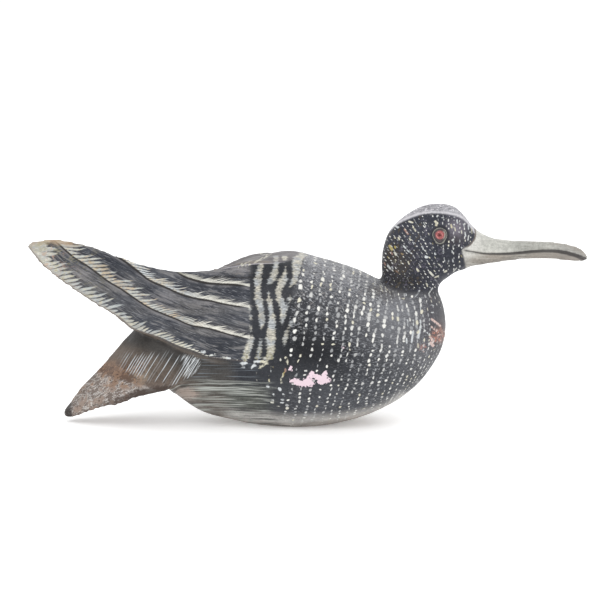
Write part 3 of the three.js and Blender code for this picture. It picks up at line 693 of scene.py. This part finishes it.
for colour, laid in (
    # painted sheen: lighter grey on the flank's shoulder, the front of the breast and the upper flank
    ("#616266", 0.85 * near(385, 316, 46, 24) + 0.6 * near(406, 345, 34, 34)),
    ("#505257", 0.6 * near(340, 290, 50, 16)),
    ("#101217", 0.95 * near(322, 357, 30, 24) + 0.6 * near(296, 325, 14, 40)),
    ("#47494e", 0.65 * lower_flank),
    ("#515054", 0.7 * near(428, 330, 16, 40)),
    ("#6f5852", 0.7 * near(440, 334, 7, 10)),
    ("#47464b", 0.7 * near(430, 316, 7, 16)),
    ("#6b6768", 0.85 * back_line * (1 - head_part)),
    # painted sheen: lighter grey wherever the body faces up towards the light
    ("#808186", 0.75 * eased(outward[:, 2], 0.3, 1.0) * on_body),
    ("#383b42", on_wing),
    ("#62605f", 0.75 * on_wing * (near(108, 286, 30, 10) + near(185, 309, 50, 7) + near(215, 330, 40, 6))),
    ("#8a8788", 0.85 * on_wing * wing_light),
    ("#7d7a7a", 0.7 * on_wing * (near(80, 274, 14, 8) + near(122, 254, 14, 4))),
    ("#24272e", 0.8 * on_wing * wing_dark),
    ("#363534", rump),
    ("#494643", 0.6 * rump * eased(-wing_edge[0], 6, 14)),
    ("#33312f", in_tail),
    ("#5f544b", 0.8 * in_tail * (1 - eased(height + 0.45 * across_x, -12, 4))),
    ("#7f6350", 0.75 * in_tail * (near(106, 371, 16, 9) + near(128, 378, 9, 9))),
    ("#a09a8c", 0.9 * in_tail * near(140, 380, 8, 9)),
    ("#7c7068", 0.7 * in_tail * tail_foot),
    ("#54463f", 0.75 * in_tail * near(148, 388, 22, 11)),
    ("#6b625b", 0.75 * in_tail * (1 - eased(tail_edge[0], 2, 5))),
    ("#3c322e", 0.85 * in_tail * tail_border * near(142, 394, 22, 12)),
    ("#1f1d1c", in_tail * near(65, 413, 5, 5)),
    ("#53554f", 0.75 * eased(belly, 0, 12) * eased(-across_x, 25, 45) * (1 - in_tail)),
    # painted bounce light: the lowest band of the body paler, as if lit from the white floor below
    ("#aeaba7", 0.9 * eased(rim, -6, 2.5)),
    ("#8f8076", 0.8 * near(186, 394, 12, 7) * (1 - in_tail)),
    ("#2a2d36", head_part),
    ("#736e77", 0.85 * head_part * near(457, 229, 9, 10)),
    # painted shade where the back of the head meets the body
    ("#131418", 0.9 * near(402, 282, 18, 9)),
    ("#3b352c", 0.6 * near(396, 262, 13, 14)),
    ("#5d5957", 0.7 * near(378, 291, 12, 5) + 0.4 * near(392, 296, 14, 5)),
    # the pale grey crown band: the head's own paint together with painted sheen from the light above
    ("#929196", brow),
    ("#8f8e93", brow * eased(crown, 3, 8)),
    ("#302b2b", 0.6 * near(455, 240, 9, 6)),
    ("#a5a59f", beak_part * above_gape),
    ("#817b73", beak_part * (1 - above_gape)),
    ("#b9b8b3", 0.95 * beak_part * (1 - eased(to_tip, 0.05, 0.24))),
    ("#8c8c86", 0.35 * beak_part * eased(to_tip, 0.3, 0.6)),
    ("#95918f", 0.5 * beak_part * eased(to_tip, 0.6, 0.95)),
    ("#7b746a", 0.9 * beak_part * near(476, 263, 12, 7)),
    # painted shade: the bill darker where it faces down
    ("#6d6963", 0.7 * beak_part * eased(-outward[:, 2], 0.2, 0.9)),
    ("#5b534c", 0.85 * (1 - outer) * eased(-across_x, 60, 75)),
    ("#6b5d50", 0.8 * under * (1 - beak_part) * (1 - head_part)),
):
    paint_and_painted_light = paint_and_painted_light + (np.array(linear(colour)) - paint_and_painted_light) * np.clip(laid, 0, 1)[:, None]
paint_and_painted_light = averaged(paint_and_painted_light, links, 0.4, 1)
UNEVEN = 1.75  # the wash is kept so much brighter, because the uneven coat can only darken it
LIFT = 1.45  # makes up for what the uneven coat takes away on average
put("paint_and_painted_light", *(paint_and_painted_light * LIFT * UNEVEN).T)

# The painted wood
# Satin oil paint over carved softwood. The eye meets dull dark slate under hundreds of small
# raised white strokes, brush hairs in every coat, and bare brown wood where it has worn.
painted_wood = bpy.data.materials.new("satin_oil_paint_on_softwood")
painted_wood.use_nodes = True
tree = painted_wood.node_tree
shader = tree.nodes["Principled BSDF"]
# What the paint goes by at each point: its distances from the painted edges, and brush hairs.
field = {}


def add(kind, feeds=(), out=0, **settings):
    """Adds a node of a kind, or of a kind and operation, with its settings, feeds its inputs with
    links, values, hex colours or fields by name, and gives an output."""
    kind, *operation = kind.split()
    node = tree.nodes.new("ShaderNode" + kind)
    if operation:
        node.operation = operation[0]
    for name, value in settings.items():
        setattr(node, name, value)
    for place, feed in feeds.items() if isinstance(feeds, dict) else enumerate(feeds):
        if isinstance(feed, str):
            feed = linear(feed) if feed[0] == "#" else field[feed]
        if isinstance(feed, bpy.types.NodeSocket):
            tree.links.new(feed, node.inputs[place])
        else:
            node.inputs[place].default_value = feed
    return node.outputs[out]


for name, parts in FIELDS.items():
    whole = add("Attribute", attribute_name=name)
    for out, part in enumerate(parts):
        field[part] = add("SeparateXYZ", {0: whole}, out)
plan_place = add("CombineXYZ", ("x", "y", "z"))

# Brush marks and grain, each with its length and width in millimetres and how steeply it rises.
# The finest hairs of a real brush would not show, so they are drawn half a millimetre wide.
for name, long, wide, rise, detail in (
    ("fine", 0.9, 0.9, 0, 2), ("small", 2.2, 2.2, 0, 3), ("patch", 9, 9, 0, 4), ("cloud", 28, 28, 0, 3),
    ("bend", 14, 14, 0, 0), ("vane_hair", 9, 0.6, -22, 2), ("comb_hair", 5, 0.6, 14, 2),
    ("flank_hair", 14, 0.8, 0, 3), ("tail_hair", 16, 0.7, 58, 2), ("beak_hair", 30, 0.7, -2, 3),
    ("crack", 5, 1.6, 20, 4), ("bar_hair", 7, 0.45, 0, 2), ("head_rows", 3.0, 1.2, -58, 1),
    ("rung", 2.6, 0.8, 0, 1),
):
    turned = add(
        "Mapping",
        {0: plan_place, 2: (0, -math.radians(rise), 0), 3: (long, max(long / 2, wide), wide)},
        vector_type="TEXTURE",
    )
    field[name] = add("TexNoise", {"Vector": turned, "Scale": 1.0, "Detail": detail, "Roughness": 0.6})
for name, long, wide in (("belly_hair", 34, 0.62), ("belly_band", 40, 3.2)):
    turned = add("CombineXYZ", ("x", "y", "belly"))
    turned = add("Mapping", {0: turned, 3: (long, 60, wide)}, vector_type="TEXTURE")
    field[name] = add("TexNoise", {"Vector": turned, "Scale": 1.0, "Detail": 2.0, "Distortion": 0.4})


def ragged(value, *hairs):
    """A field or link with its border broken by some brush hairs, each by so much."""
    for hair, much in hairs:
        off = add("Math ADD", (hair, -0.5))
        value = add("Math MULTIPLY_ADD", (off, 2 * much, value))
    return value


def cover(*shares):
    """How much of a coat is laid: the product of some shares. A share is a number, a link, or a
    field with the values that it comes from and goes to, and the hairs that break its border."""
    whole = None
    for part in shares:
        if isinstance(part, tuple):
            value, low, high, *hairs = part
            feeds = {0: ragged(value, *hairs), 1: low, 2: high}
            part = add("MapRange", feeds, interpolation_type="SMOOTHSTEP")
        whole = part if whole is None else add("Math MULTIPLY", (whole, part))
    return whole


def painted(under_it, *layers):
    """A coat with layers over it, each a colour and the shares of its cover."""
    for colour, *shares in layers:
        under_it = add("Mix", {0: cover(*shares), 6: under_it, 7: colour}, 2, data_type="RGBA")
    return under_it


def striped(count):
    """The whole number of the stripe a count is on, a chance for it, and how far off its middle."""
    number = add("Math FLOOR", (count,))
    chance = add("TexWhiteNoise", {1: number}, noise_dimensions="1D")
    off = add("Math SUBTRACT", (add("Math FRACT", (count,)), 0.5))
    return number, chance, add("Math ABSOLUTE", (off,))


def x_at(across):
    """How far forward a column of the photograph's pixels lies, at the height of the wings."""
    return at(across, 250)[0]


# Every coat is a little uneven, as hand-mixed oil paint brushed out thin is.
uneven = add("Mix", {0: cover(("cloud", 0.35, 0.65)), 2: 0.82, 3: 1.15})
uneven = cover(uneven, ("small", -0.7, 1.2, ("fine", 0.3)))
darker = add("Math MULTIPLY_ADD", (uneven, -1.0 / UNEVEN, 1.0))
coat = painted(
    add("Attribute", attribute_name="paint_and_painted_light"),
    ("#000000", darker),
    ("#5d5a5c", ("fine", 0.6, 0.72), 0.35),
    ("#ac7767", ("small", 0.5, 0.56, ("fine", 0.4)), ("front", 0.25, 0.8), 0.9),
)

# Long light streaks on the belly, and finer bluish ones in the dark band above them. Thin level
# strokes lie between the dabs of the flank.
behind = cover(("x", -22, -30, ("belly_hair", 34), ("small", 6)), ("tail", 0.5, -1))
on_belly = cover(("belly", -1, 5, ("belly_hair", 7), ("belly_band", 6)), behind)
dab_size = add("SeparateXYZ", {0: add("Attribute", attribute_name="dab_grid")}, 2)
coat = painted(
    coat,
    ("#9ea19c", ("belly_hair", 0.5, 0.68, ("belly_band", 0.3)), on_belly),
    ("#2b2d2e", ("belly_hair", 0.44, 0.32, ("belly_band", 0.25)), on_belly, 0.8),
    ("#a3948a", ("stern", 0.35, 0.9, ("small", 0.4), ("belly_hair", 0.7)), ("tail", 0.5, -1), 0.75),
    ("#6f777f", ("belly_hair", 0.56, 0.68), behind, ("belly", 1, -3), ("line_d", -1, -4), 0.7),
    ("#8b8d91", ("rung", 0.55, 0.66), (dab_size, 0.7, 1.0), ("neck", 0, -2), 0.65),
)

# The back's coat is dry and scratched, with dark pits and light scrapes between the dabs.
on_back = cover(
    ("z", 76, 100, ("patch", 34)), ("neck", 0, -2), ("x", -14, -4), ("x", x_at(402), x_at(376))
)
coat = painted(
    coat,
    ("#2b2c31", ("small", 0.52, 0.62, ("crack", 0.5)), on_back, 0.7),
    ("#b2b3b5", ("head_rows", 0.57, 0.68, ("small", 0.3)), on_back, 0.6),
    ("#8b8784", ("crack", 0.43, 0.33, ("fine", 0.2)), on_back, 0.6),
)

# The white bars behind the breast, each a ladder of short level strokes.
RUNG_PITCH = 2.7
rung = add("Math MULTIPLY", (ragged("z", ("bend", 1.0)), 1 / RUNG_PITCH))
_, rung_chance, between = striped(rung)
bar = add("Math MULTIPLY_ADD", (rung_chance, 1.6, "bar"))
bar = add("Math MULTIPLY_ADD", (between, -1.7, bar))
bar_hairs = add("Mix", {0: cover(("bar_hair", 0.4, 0.58, ("small", 0.2))), 2: 1.0, 3: 0.4})
bar_mask = cover((bar, -0.3, 1.1, ("bar_hair", 2.6), ("small", 1.2)), bar_hairs)
bar_colour = painted(
    "#b3b7b9",
    ("#c6c2b5", ("patch", 0.4, 0.6)),
    ("#aaa47a", ("z", 66, 52), ("small", 0.42, 0.58), 0.7),
)

# The wing feathers: dark streaky vanes, each with a comb of pale strokes along its lower edge. The
# strokes' reach is told at some pixels across, in millimetres.
tip, tip_start = x_at(60), x_at(84)
wing_coat = coat
combs = add("Attribute", attribute_name="combs")
counted = [add("SeparateColor", {0: combs}, out) for out in range(3)]
counted.append(add("Attribute", attribute_name="combs", out=3))
for count, lower, upper, tones, reaches in zip(
    counted,
    ("line_a", "line_b", "line_c", "line_d"),
    ("ridge", "line_a", "line_b", "line_c"),
    (("#b1ae98", "#bdbbae"), ("#c8bfad", "#bcc0c1"), ("#b3a48e", "#b2b4ae"), ("#b6b2a2", "#a5a9a8")),
    (
        ((172, 1.5), (190, 4.5), (222, 5.5), (250, 4.2)),
        ((96, 4), (112, 9.5), (150, 8), (175, 7), (205, 6.5), (250, 4.6)),
        (
            (46, 24), (58, 17), (66, 11), (84, 12), (130, 10.5), (160, 9.5), (180, 8), (215, 6.2),
            (250, 4.6),
        ),
        (
            (24, 42), (38, 34), (52, 18), (60, 13.5), (80, 11.5), (130, 10), (175, 7), (192, 4.8),
            (204, 1.0), (236, 0.2),
        ),
    ),
):
    along_vane = add("CombineXYZ", ("x", "y", lower))
    along_vane = add("Mapping", {0: along_vane, 3: (24, 12, 1.9)}, vector_type="TEXTURE")
    look = {"Scale": 1.0, "Detail": 3.0, "Roughness": 0.65, "Distortion": 0.3}
    vane = add("TexNoise", {"Vector": along_vane, **look})
    here = cover((lower, -0.2, 0.2), (upper, -0.1, -0.5))
    wing_coat = painted(
        wing_coat,
        ("#20232c", (vane, 0.51, 0.61), here, 0.75),
        ("#7b7979", (vane, 0.47, 0.36), here, 0.6),
        ("#8d8e92", ("vane_hair", 0.57, 0.7), here, 0.55),
        ("#7a787a", (upper, -3.6, -1.0, ("vane_hair", 1.2)), here, ("bend", 0.35, 0.6), 0.55),
    )
    reach_at = reaches[0][1]
    for (x1, r1), (x2, r2) in zip(reaches[:-1], reaches[1:]):
        step = add("MapRange", {0: "x", 1: x_at(x1), 2: x_at(x2), 4: r2 - r1})
        reach_at = add("Math ADD", (reach_at, step))
    comb_at = add("Math MULTIPLY_ADD", ("bend", 0.8, count))
    number, tooth, middle = striped(comb_at)
    tooth_tone = add("Math ADD", (number, 0.37))  # a second chance for each stroke
    tooth_tone = add("TexWhiteNoise", {1: tooth_tone}, noise_dimensions="1D")
    tooth_length = add("Math MULTIPLY_ADD", (tooth, 0.85, 0.5))
    tooth_length = add("Math MULTIPLY", (tooth_length, reach_at))
    tooth_length = add("Math MAXIMUM", (tooth_length, 0.01))
    out_along = ragged(lower, ("comb_hair", 1.6), ("small", 0.8))
    out_along = add("Math DIVIDE", (out_along, tooth_length))
    width = add("Math MAXIMUM", (out_along, 0.0))
    width = add("Math POWER", (width, 2.2))
    fullness = add("Math MULTIPLY_ADD", (tooth_tone, 0.16, 0.38))
    width = add("Math MULTIPLY_ADD", (width, -0.46, fullness))
    if lower in ("line_c", "line_d"):
        fuller = cover(("x", x_at(64), x_at(38)), 0.22)
        width = add("Math ADD", (width, fuller))
    in_tooth = add("Math SUBTRACT", (width, middle))
    comb = cover(
        (in_tooth, -0.05, 0.16, ("comb_hair", 0.32), ("small", 0.12)),
        (out_along, 1.1, 0.7), (lower, 0.0, 0.6), (upper, -0.3, -0.9),
    )
    tint = painted(
        tones[0],
        (tones[1], ("patch", 0.42, 0.58, ("comb_hair", 0.2))),
        ("#7d8286", (tooth_tone, 0.5, 0.95), 0.4),
        ("#767a7e", ("comb_hair", 0.52, 0.64), ("x", tip, tip_start), 0.7),
        ("#ccc7b8", ("small", 0.5, 0.66, ("comb_hair", 0.2)), ("x", tip, tip - 12), 0.7),
        ("#8c8b82", ("vane_hair", 0.5, 0.62), ("x", tip + 8, tip), 0.6),
        ("#dad8ce", ("x", -108, -80), 0.9),
    )
    wing_coat = painted(wing_coat, (tint, comb))
for letter in "abc":
    crease = add("Math ABSOLUTE", (ragged("line_" + letter, ("small", 0.3)),))
    wing_coat = painted(wing_coat, ("#211e1c", (crease, 0.95, 0.4), "drawn_" + letter, 0.9))
ridge_line = ("ridge", -4, -1.5, ("comb_hair", 5), ("patch", 4))
wing_coat = painted(
    wing_coat,
    ("#a98a73", ("patch", 0.53, 0.62), ("x", -180, -220), 0.6),
    ("#8b8467", ("patch", 0.47, 0.38, ("comb_hair", 0.3)), ("x", -150, -200), 0.5),
    ("#b9b8b2", ridge_line, ("x", -168, -185), ("x", -214, -200), 0.8),
    ("#a58f74", ("z", 144, 150, ("patch", 5), ("small", 3)), ("x", -175, -190), 0.7),
    ("#48413f", ("line_d", 1.0, 0.2), 0.75),
)
from_ridge = add("Math ABSOLUTE", ("ridge",))
coat = painted(
    coat,
    (wing_coat, ("wing", 0.35, 0.65, ("small", 0.1))),
    # painted highlight: a pale lavender line along the ridge edge of the back
    ("#b5b2ba", (from_ridge, 1.0, 0.3), ("x", -78, -66), ("x", -14, -26), 0.6),
    (bar_colour, bar_mask),
)

# The tail: thin white quill strokes, worn wood and a rough edge.
QUILL_SLANT = math.radians(58)
QUILL_PITCH = 1.9
tail_here = cover(("tail", -0.3, 0.5), ("line_d", -0.4, -1.0))
worn = cover(("x", -128, -140, ("patch", 14)), tail_here, ("z", 54, 44, ("patch", 8)))
tail_edge_worn = ("tail_rim", 4.6, 1.4, ("crack", 3.0), ("small", 1.6))
coat = painted(
    coat,
    ("#86705f", ("patch", 0.52, 0.6), worn, 0.5),
    ("#bbb2a9", ("patch", 0.52, 0.66, ("crack", 0.4)), worn, ("z", 34, 24), ("x", -122, -136), 0.45),
    ("#4f3e35", ("patch", 0.53, 0.43, ("crack", 0.7), ("small", 0.25)), worn, 0.8),
    ("#8f7056", ("patch", 0.5, 0.68, ("small", 0.5)), worn, ("z", 24, 32), 0.7),
    ("#6d574a", ("crack", 0.5, 0.6, ("patch", 0.6)), worn, 0.6),
    ("#35261f", ("crack", 0.6, 0.68, ("small", 0.2)), worn, 0.9),
    ("#3b302b", tail_edge_worn, tail_here, ("x", -190, -140), 0.85),
)
quill_at = add("Math MULTIPLY", ("x", -math.sin(QUILL_SLANT) / QUILL_PITCH))
quill_at = add("Math MULTIPLY_ADD", ("z", math.cos(QUILL_SLANT) / QUILL_PITCH, quill_at))
quill_at = add("Math MULTIPLY_ADD", ("bend", 0.5, quill_at))
_, quill_chance, quill_middle = striped(quill_at)
quill_foot = add("Math MULTIPLY_ADD", ("x", 0.31, "z"))
quill_foot = add("Math MULTIPLY_ADD", (quill_chance, -7, quill_foot))
quill_top = add("Math MULTIPLY_ADD", (quill_chance, 8, "z"))
quill = cover(
    (quill_middle, 0.24, 0.08, ("tail_hair", 0.22)), (quill_chance, 0.15, 0.85), tail_here,
    (quill_top, 64, 58), ("x", -158, -148), (quill_foot, -13, -8),
)
flick = cover(
    ("x", -103, -97, ("tail_hair", 9)), ("tail_hair", 0.47, 0.58), ("tail", 2.0, 3.2, ("tail_hair", 6)),
    ("z", 34, 40), ("z", 57, 52),
)
coat = painted(
    coat,
    ("#adb2b6", quill),
    ("#262322", ("x", -193, -196.5, ("small", 2.0)), tail_here, 0.85),
    ("#c0c4c6", flick),
)

# The head: a speckled crown, a mottled face and loose dabs, each in the colour of its tone.
head_here = cover(("neck", -0.5, 0.5), ("bill", 0.3, -0.3))
face = cover(("crown", 0, -1), head_here)
crown_line = add("Math ADD", ("crown", -1.2))
crown_line = add("Math ABSOLUTE", (crown_line,))
dab_mask = cover(("dab", -0.1, 0.5, ("fine", 0.5), ("small", 0.25)))
tone_colour = painted(
    "#c2c6c8",
    ("#c5c1ad", ("tone", 0.1, 0.45)),
    ("#a09150", ("tone", 0.5, 0.66)),
    ("#8f7066", ("tone", 0.7, 0.9)),
    ("#cdb4ad", ("tone", 1.05, 1.2)),
    ("#6c6a68", ("fine", 0.5, 0.62), 0.5),
)
coat = painted(
    coat,
    ("#c4c2c6", (crown_line, 1.2, 0.2, ("small", 1.6), ("fine", 0.5)), head_here, 0.75),
    ("#5b5a60", ("small", 0.5, 0.4, ("patch", 0.3)), ("crown", 1.8, 4), head_here, 0.5),
    ("#c8c6ca", ("head_rows", 0.54, 0.64, ("small", 0.2)), ("crown", 1.4, 3), head_here, 0.85),
    ("#56525f", ("small", 0.56, 0.7, ("patch", 0.3)), face, 0.6),
    ("#4d4334", ("small", 0.44, 0.32, ("patch", 0.3)), face, ("x", 100, 84), 0.8),
    ("#8f8e8b", ("head_rows", 0.62, 0.72, ("fine", 0.25)), face, ("patch", 0.46, 0.6), 0.5),
    (tone_colour, dab_mask),
)

# The eye: a grey ring, a dull red iris with pink flecks of painted highlight and a dark middle, and a
# pale glint in front of it.
RING = 5.6
from_eye_x = add("Math ADD", ("x", -EYE[0]))
from_eye_z = add("Math ADD", ("z", -EYE[1]))
eye_away = add("Math MULTIPLY", (from_eye_x, from_eye_x))
eye_away = add("Math MULTIPLY_ADD", (from_eye_z, from_eye_z, eye_away))
eye_away = add("Math SQRT", (eye_away,))
eye_away = add("Math SUBTRACT", (eye_away, cover((from_eye_z, -3.5, -7.5), 1.5)))
eye_away = ragged(eye_away, ("small", 0.35))
eye_ring = add("Math ABSOLUTE", (add("Math ADD", (eye_away, -RING)),))
coat = painted(
    coat,
    ("#212227", (eye_away, 8.6, 7.0), 0.8),
    ("#8a887f", (eye_ring, 0.55, 0.0, ("fine", 0.4), ("small", 0.3)), 0.85),
    ("#4b4446", (eye_away, 5.2, 4.6)),
    ("#9c948b", (eye_away, 5.0, 4.4), (from_eye_x, 2.0, 3.8), 0.8),
    ("#8c4b4c", (eye_away, 4.0, 3.1, ("fine", 0.9), ("small", 0.6))),
    # painted highlight: pink flecks in the iris
    ("#c88783", ("fine", 0.48, 0.6, ("small", 0.2)), (eye_away, 3.8, 2.8), 0.6),
    ("#471a1e", (eye_away, 2.2, 0.8, ("fine", 0.8), ("small", 0.6)), 0.9),
)

# The bill: cream at its root, streaked grey-green and brown towards the tip, with a dark border
# and a dark slit.
bill_here = cover(("bill", -0.2, 0.4))
border = add("Math ABSOLUTE", (ragged("bill", ("small", 0.3)),))
slit = add("Math ABSOLUTE", (ragged("gape", ("small", 0.15)),))
slit_half = add("MapRange", {0: "x", 1: x_at(470), 2: x_at(560), 3: 0.45, 4: 1.4})
slit = add("Math SUBTRACT", (slit, slit_half))
coat = painted(
    coat,
    ("#77756e", ("beak_hair", 0.54, 0.7), bill_here, ("x", 140, 200), 0.6),
    ("#cbc9c3", ("beak_hair", 0.46, 0.34), bill_here, 0.4),
    ("#5f5b58", ("gape", 0, -2.2, ("beak_hair", 1.6)), bill_here, ("x", 165, 215), 0.35),
    ("#4d3c32", (border, 0.9, 0.25), ("neck", 3, 6), ("z", 142, 146), 0.7),
    ("#343131", (slit, 0.5, -0.4, ("beak_hair", 0.8)), "on_beak", 0.85),
)

# Dabs of the brush's tip, in columns and rows on the body. Each stands a little off its place, and
# its chance says how wide, long and bright it is.
CENTRE = (0.5, 0.5, 0.5)
LEFT_OUT = 0.13  # the share of places that have no dab
grid = add("Attribute", attribute_name="dab_grid", out=1)
wobble = add("TexNoise", {"Vector": plan_place, "Scale": 0.25, "Detail": 1.0}, 1)
wobble = add("VectorMath SUBTRACT", (wobble, CENTRE))
spot = add("VectorMath MULTIPLY_ADD", (wobble, (0.3, 0.5, 0), grid))
cell = add("VectorMath ADD", (spot, (0.5, 0.5, 0)))
cell = add("VectorMath FLOOR", (cell,))
cell = add("VectorMath MULTIPLY", (cell, (1, 1, 0)))
chance = add("TexWhiteNoise", {0: cell}, 1, noise_dimensions="3D")
other = add("VectorMath ADD", (cell, (7.3, 3.1, 5.7)))
other = add("TexWhiteNoise", {0: other}, 1, noise_dimensions="3D")
off = add("VectorMath SUBTRACT", (chance, CENTRE))
off = add("VectorMath MULTIPLY_ADD", (off, (0.22, 0.4, 0), cell))
off = add("VectorMath SUBTRACT", (spot, off))
half = add("VectorMath MULTIPLY_ADD", (other, (0.11, 0.26, 0), (0.1, 0.22, 1)))
half = add("VectorMath SCALE", {0: half, 3: dab_size})
half = add("VectorMath MAXIMUM", (half, (0.001, 0.001, 0.001)))
off = add("VectorMath DIVIDE", (off, half))
off = add("VectorMath MULTIPLY", (off, (1, 1, 0)))
away = add("VectorMath LENGTH", {0: off}, 1)
bright = add("SeparateXYZ", {0: other}, 2)
there = add("Math GREATER_THAN", (add("SeparateXYZ", {0: chance}, 2), LEFT_OUT))
strength = add("Mix", {0: cover((bright, 0.1, 0.8)), 2: 0.6, 3: 1.0})
body_dab = cover(
    (away, 1.2, 0.65, ("fine", 0.5), ("small", 0.2)), there, (dab_size, 0.12, 0.3), strength
)
dab_colour = painted("#a0a2a5", ("#e0dfd9", bright), ("#aaa27c", (bright, 0.88, 0.92), 0.5))

# Over the dabs lie paint gone to the pink primer, darker paint in the hollows and lighter paint
# on the edges.
coat = painted(
    coat,
    (dab_colour, body_dab),
    ("#d3bfc8", ("bare", 0.0, 0.35, ("small", 2.8), ("fine", 1.6))),
    ("#1f1c1a", ("hollow", 0.07, 0.2, ("small", 0.05)), 0.6),
    ("#8f877f", ("hollow", -0.16, -0.32, ("small", 0.08)), 0.5),
)

tree.links.new(coat, shader.inputs["Base Color"])
gloss = add("Mix", {0: cover(("patch", 0.35, 0.65)), 2: 0.38, 3: 0.55})
tree.links.new(gloss, shader.inputs["Roughness"])
strokes = add("Math MAXIMUM", (dab_mask, bar_mask))
strokes = add("Math MAXIMUM", (strokes, body_dab))
relief = add("Math MULTIPLY", ("flank_hair", 0.1))
relief = add("Math MULTIPLY_ADD", (strokes, 0.14, relief))
bump = add("Bump", {"Strength": 1.0, "Distance": 0.001, "Height": relief})
tree.links.new(bump, shader.inputs["Normal"])
shader.inputs["Specular IOR Level"].default_value = 0.2

loon = bpy.data.objects.new("carved_and_painted_loon", carving)
bpy.context.scene.collection.objects.link(loon)
for polygon in carving.polygons:
    polygon.use_smooth = True
carving.materials.clear()
carving.materials.append(painted_wood)
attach(loon, "root")
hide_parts("carved_loon")

# The table and the light
# A plain white floor in the soft daylight of a bright room, with a large window above it on the
# onlooker's side and a weaker one on the far side.
FLOOR_HALF = 40.0  # metres
FLOOR_GAP = 0.0002
paper = bpy.data.meshes.new("white_floor")
corners = [(-1, -1), (1, -1), (1, 1), (-1, 1)]
paper.from_pydata(
    [(x * FLOOR_HALF, y * FLOOR_HALF, -FLOOR_GAP) for x, y in corners], [], [(0, 1, 2, 3)]
)
floor = bpy.data.objects.new("white_floor", paper)
scene = bpy.context.scene
scene.collection.objects.link(floor)
white_paper = bpy.data.materials.new("white_paper")
white_paper.use_nodes = True
for name, value in (
    ("Base Color", linear("#fafafa")), ("Roughness", 0.9),
    ("Emission Color", linear("#ffffff")), ("Emission Strength", 0.25),
):
    white_paper.node_tree.nodes["Principled BSDF"].inputs[name].default_value = value
paper.materials.append(white_paper)

world = bpy.data.worlds.new("bright_room")
scene.world = world
world.use_nodes = True
world.node_tree.nodes["Background"].inputs["Color"].default_value = linear("#ffffff")
world.node_tree.nodes["Background"].inputs["Strength"].default_value = 1.06
for name, place, size, power in (
    ("window", (-0.5, -1.6, 1.3), 1.6, 14),
    ("far_window", (0.9, 1.3, 1.5), 1.4, 8),
):
    lamp = bpy.data.lights.new(name, "AREA")
    lamp.size = size
    lamp.energy = power
    light = bpy.data.objects.new(name, lamp)
    light.location = place
    aim = Vector((0, 0, LOOKED_AT[2] * mm)) - Vector(place)
    light.rotation_euler = aim.to_track_quat("-Z", "Y").to_euler()
    scene.collection.objects.link(light)

lens = bpy.data.cameras.new("camera")
lens.lens = lens.sensor_width * SEEN_FROM_DISTANCE / SEEN_WIDTH
camera = bpy.data.objects.new("camera", lens)
camera.location = Vector(onlooker * mm)
camera.rotation_euler = Vector(looking).to_track_quat("-Z", "Y").to_euler()
scene.collection.objects.link(camera)
scene.camera = camera
scene.view_settings.view_transform = "Standard"
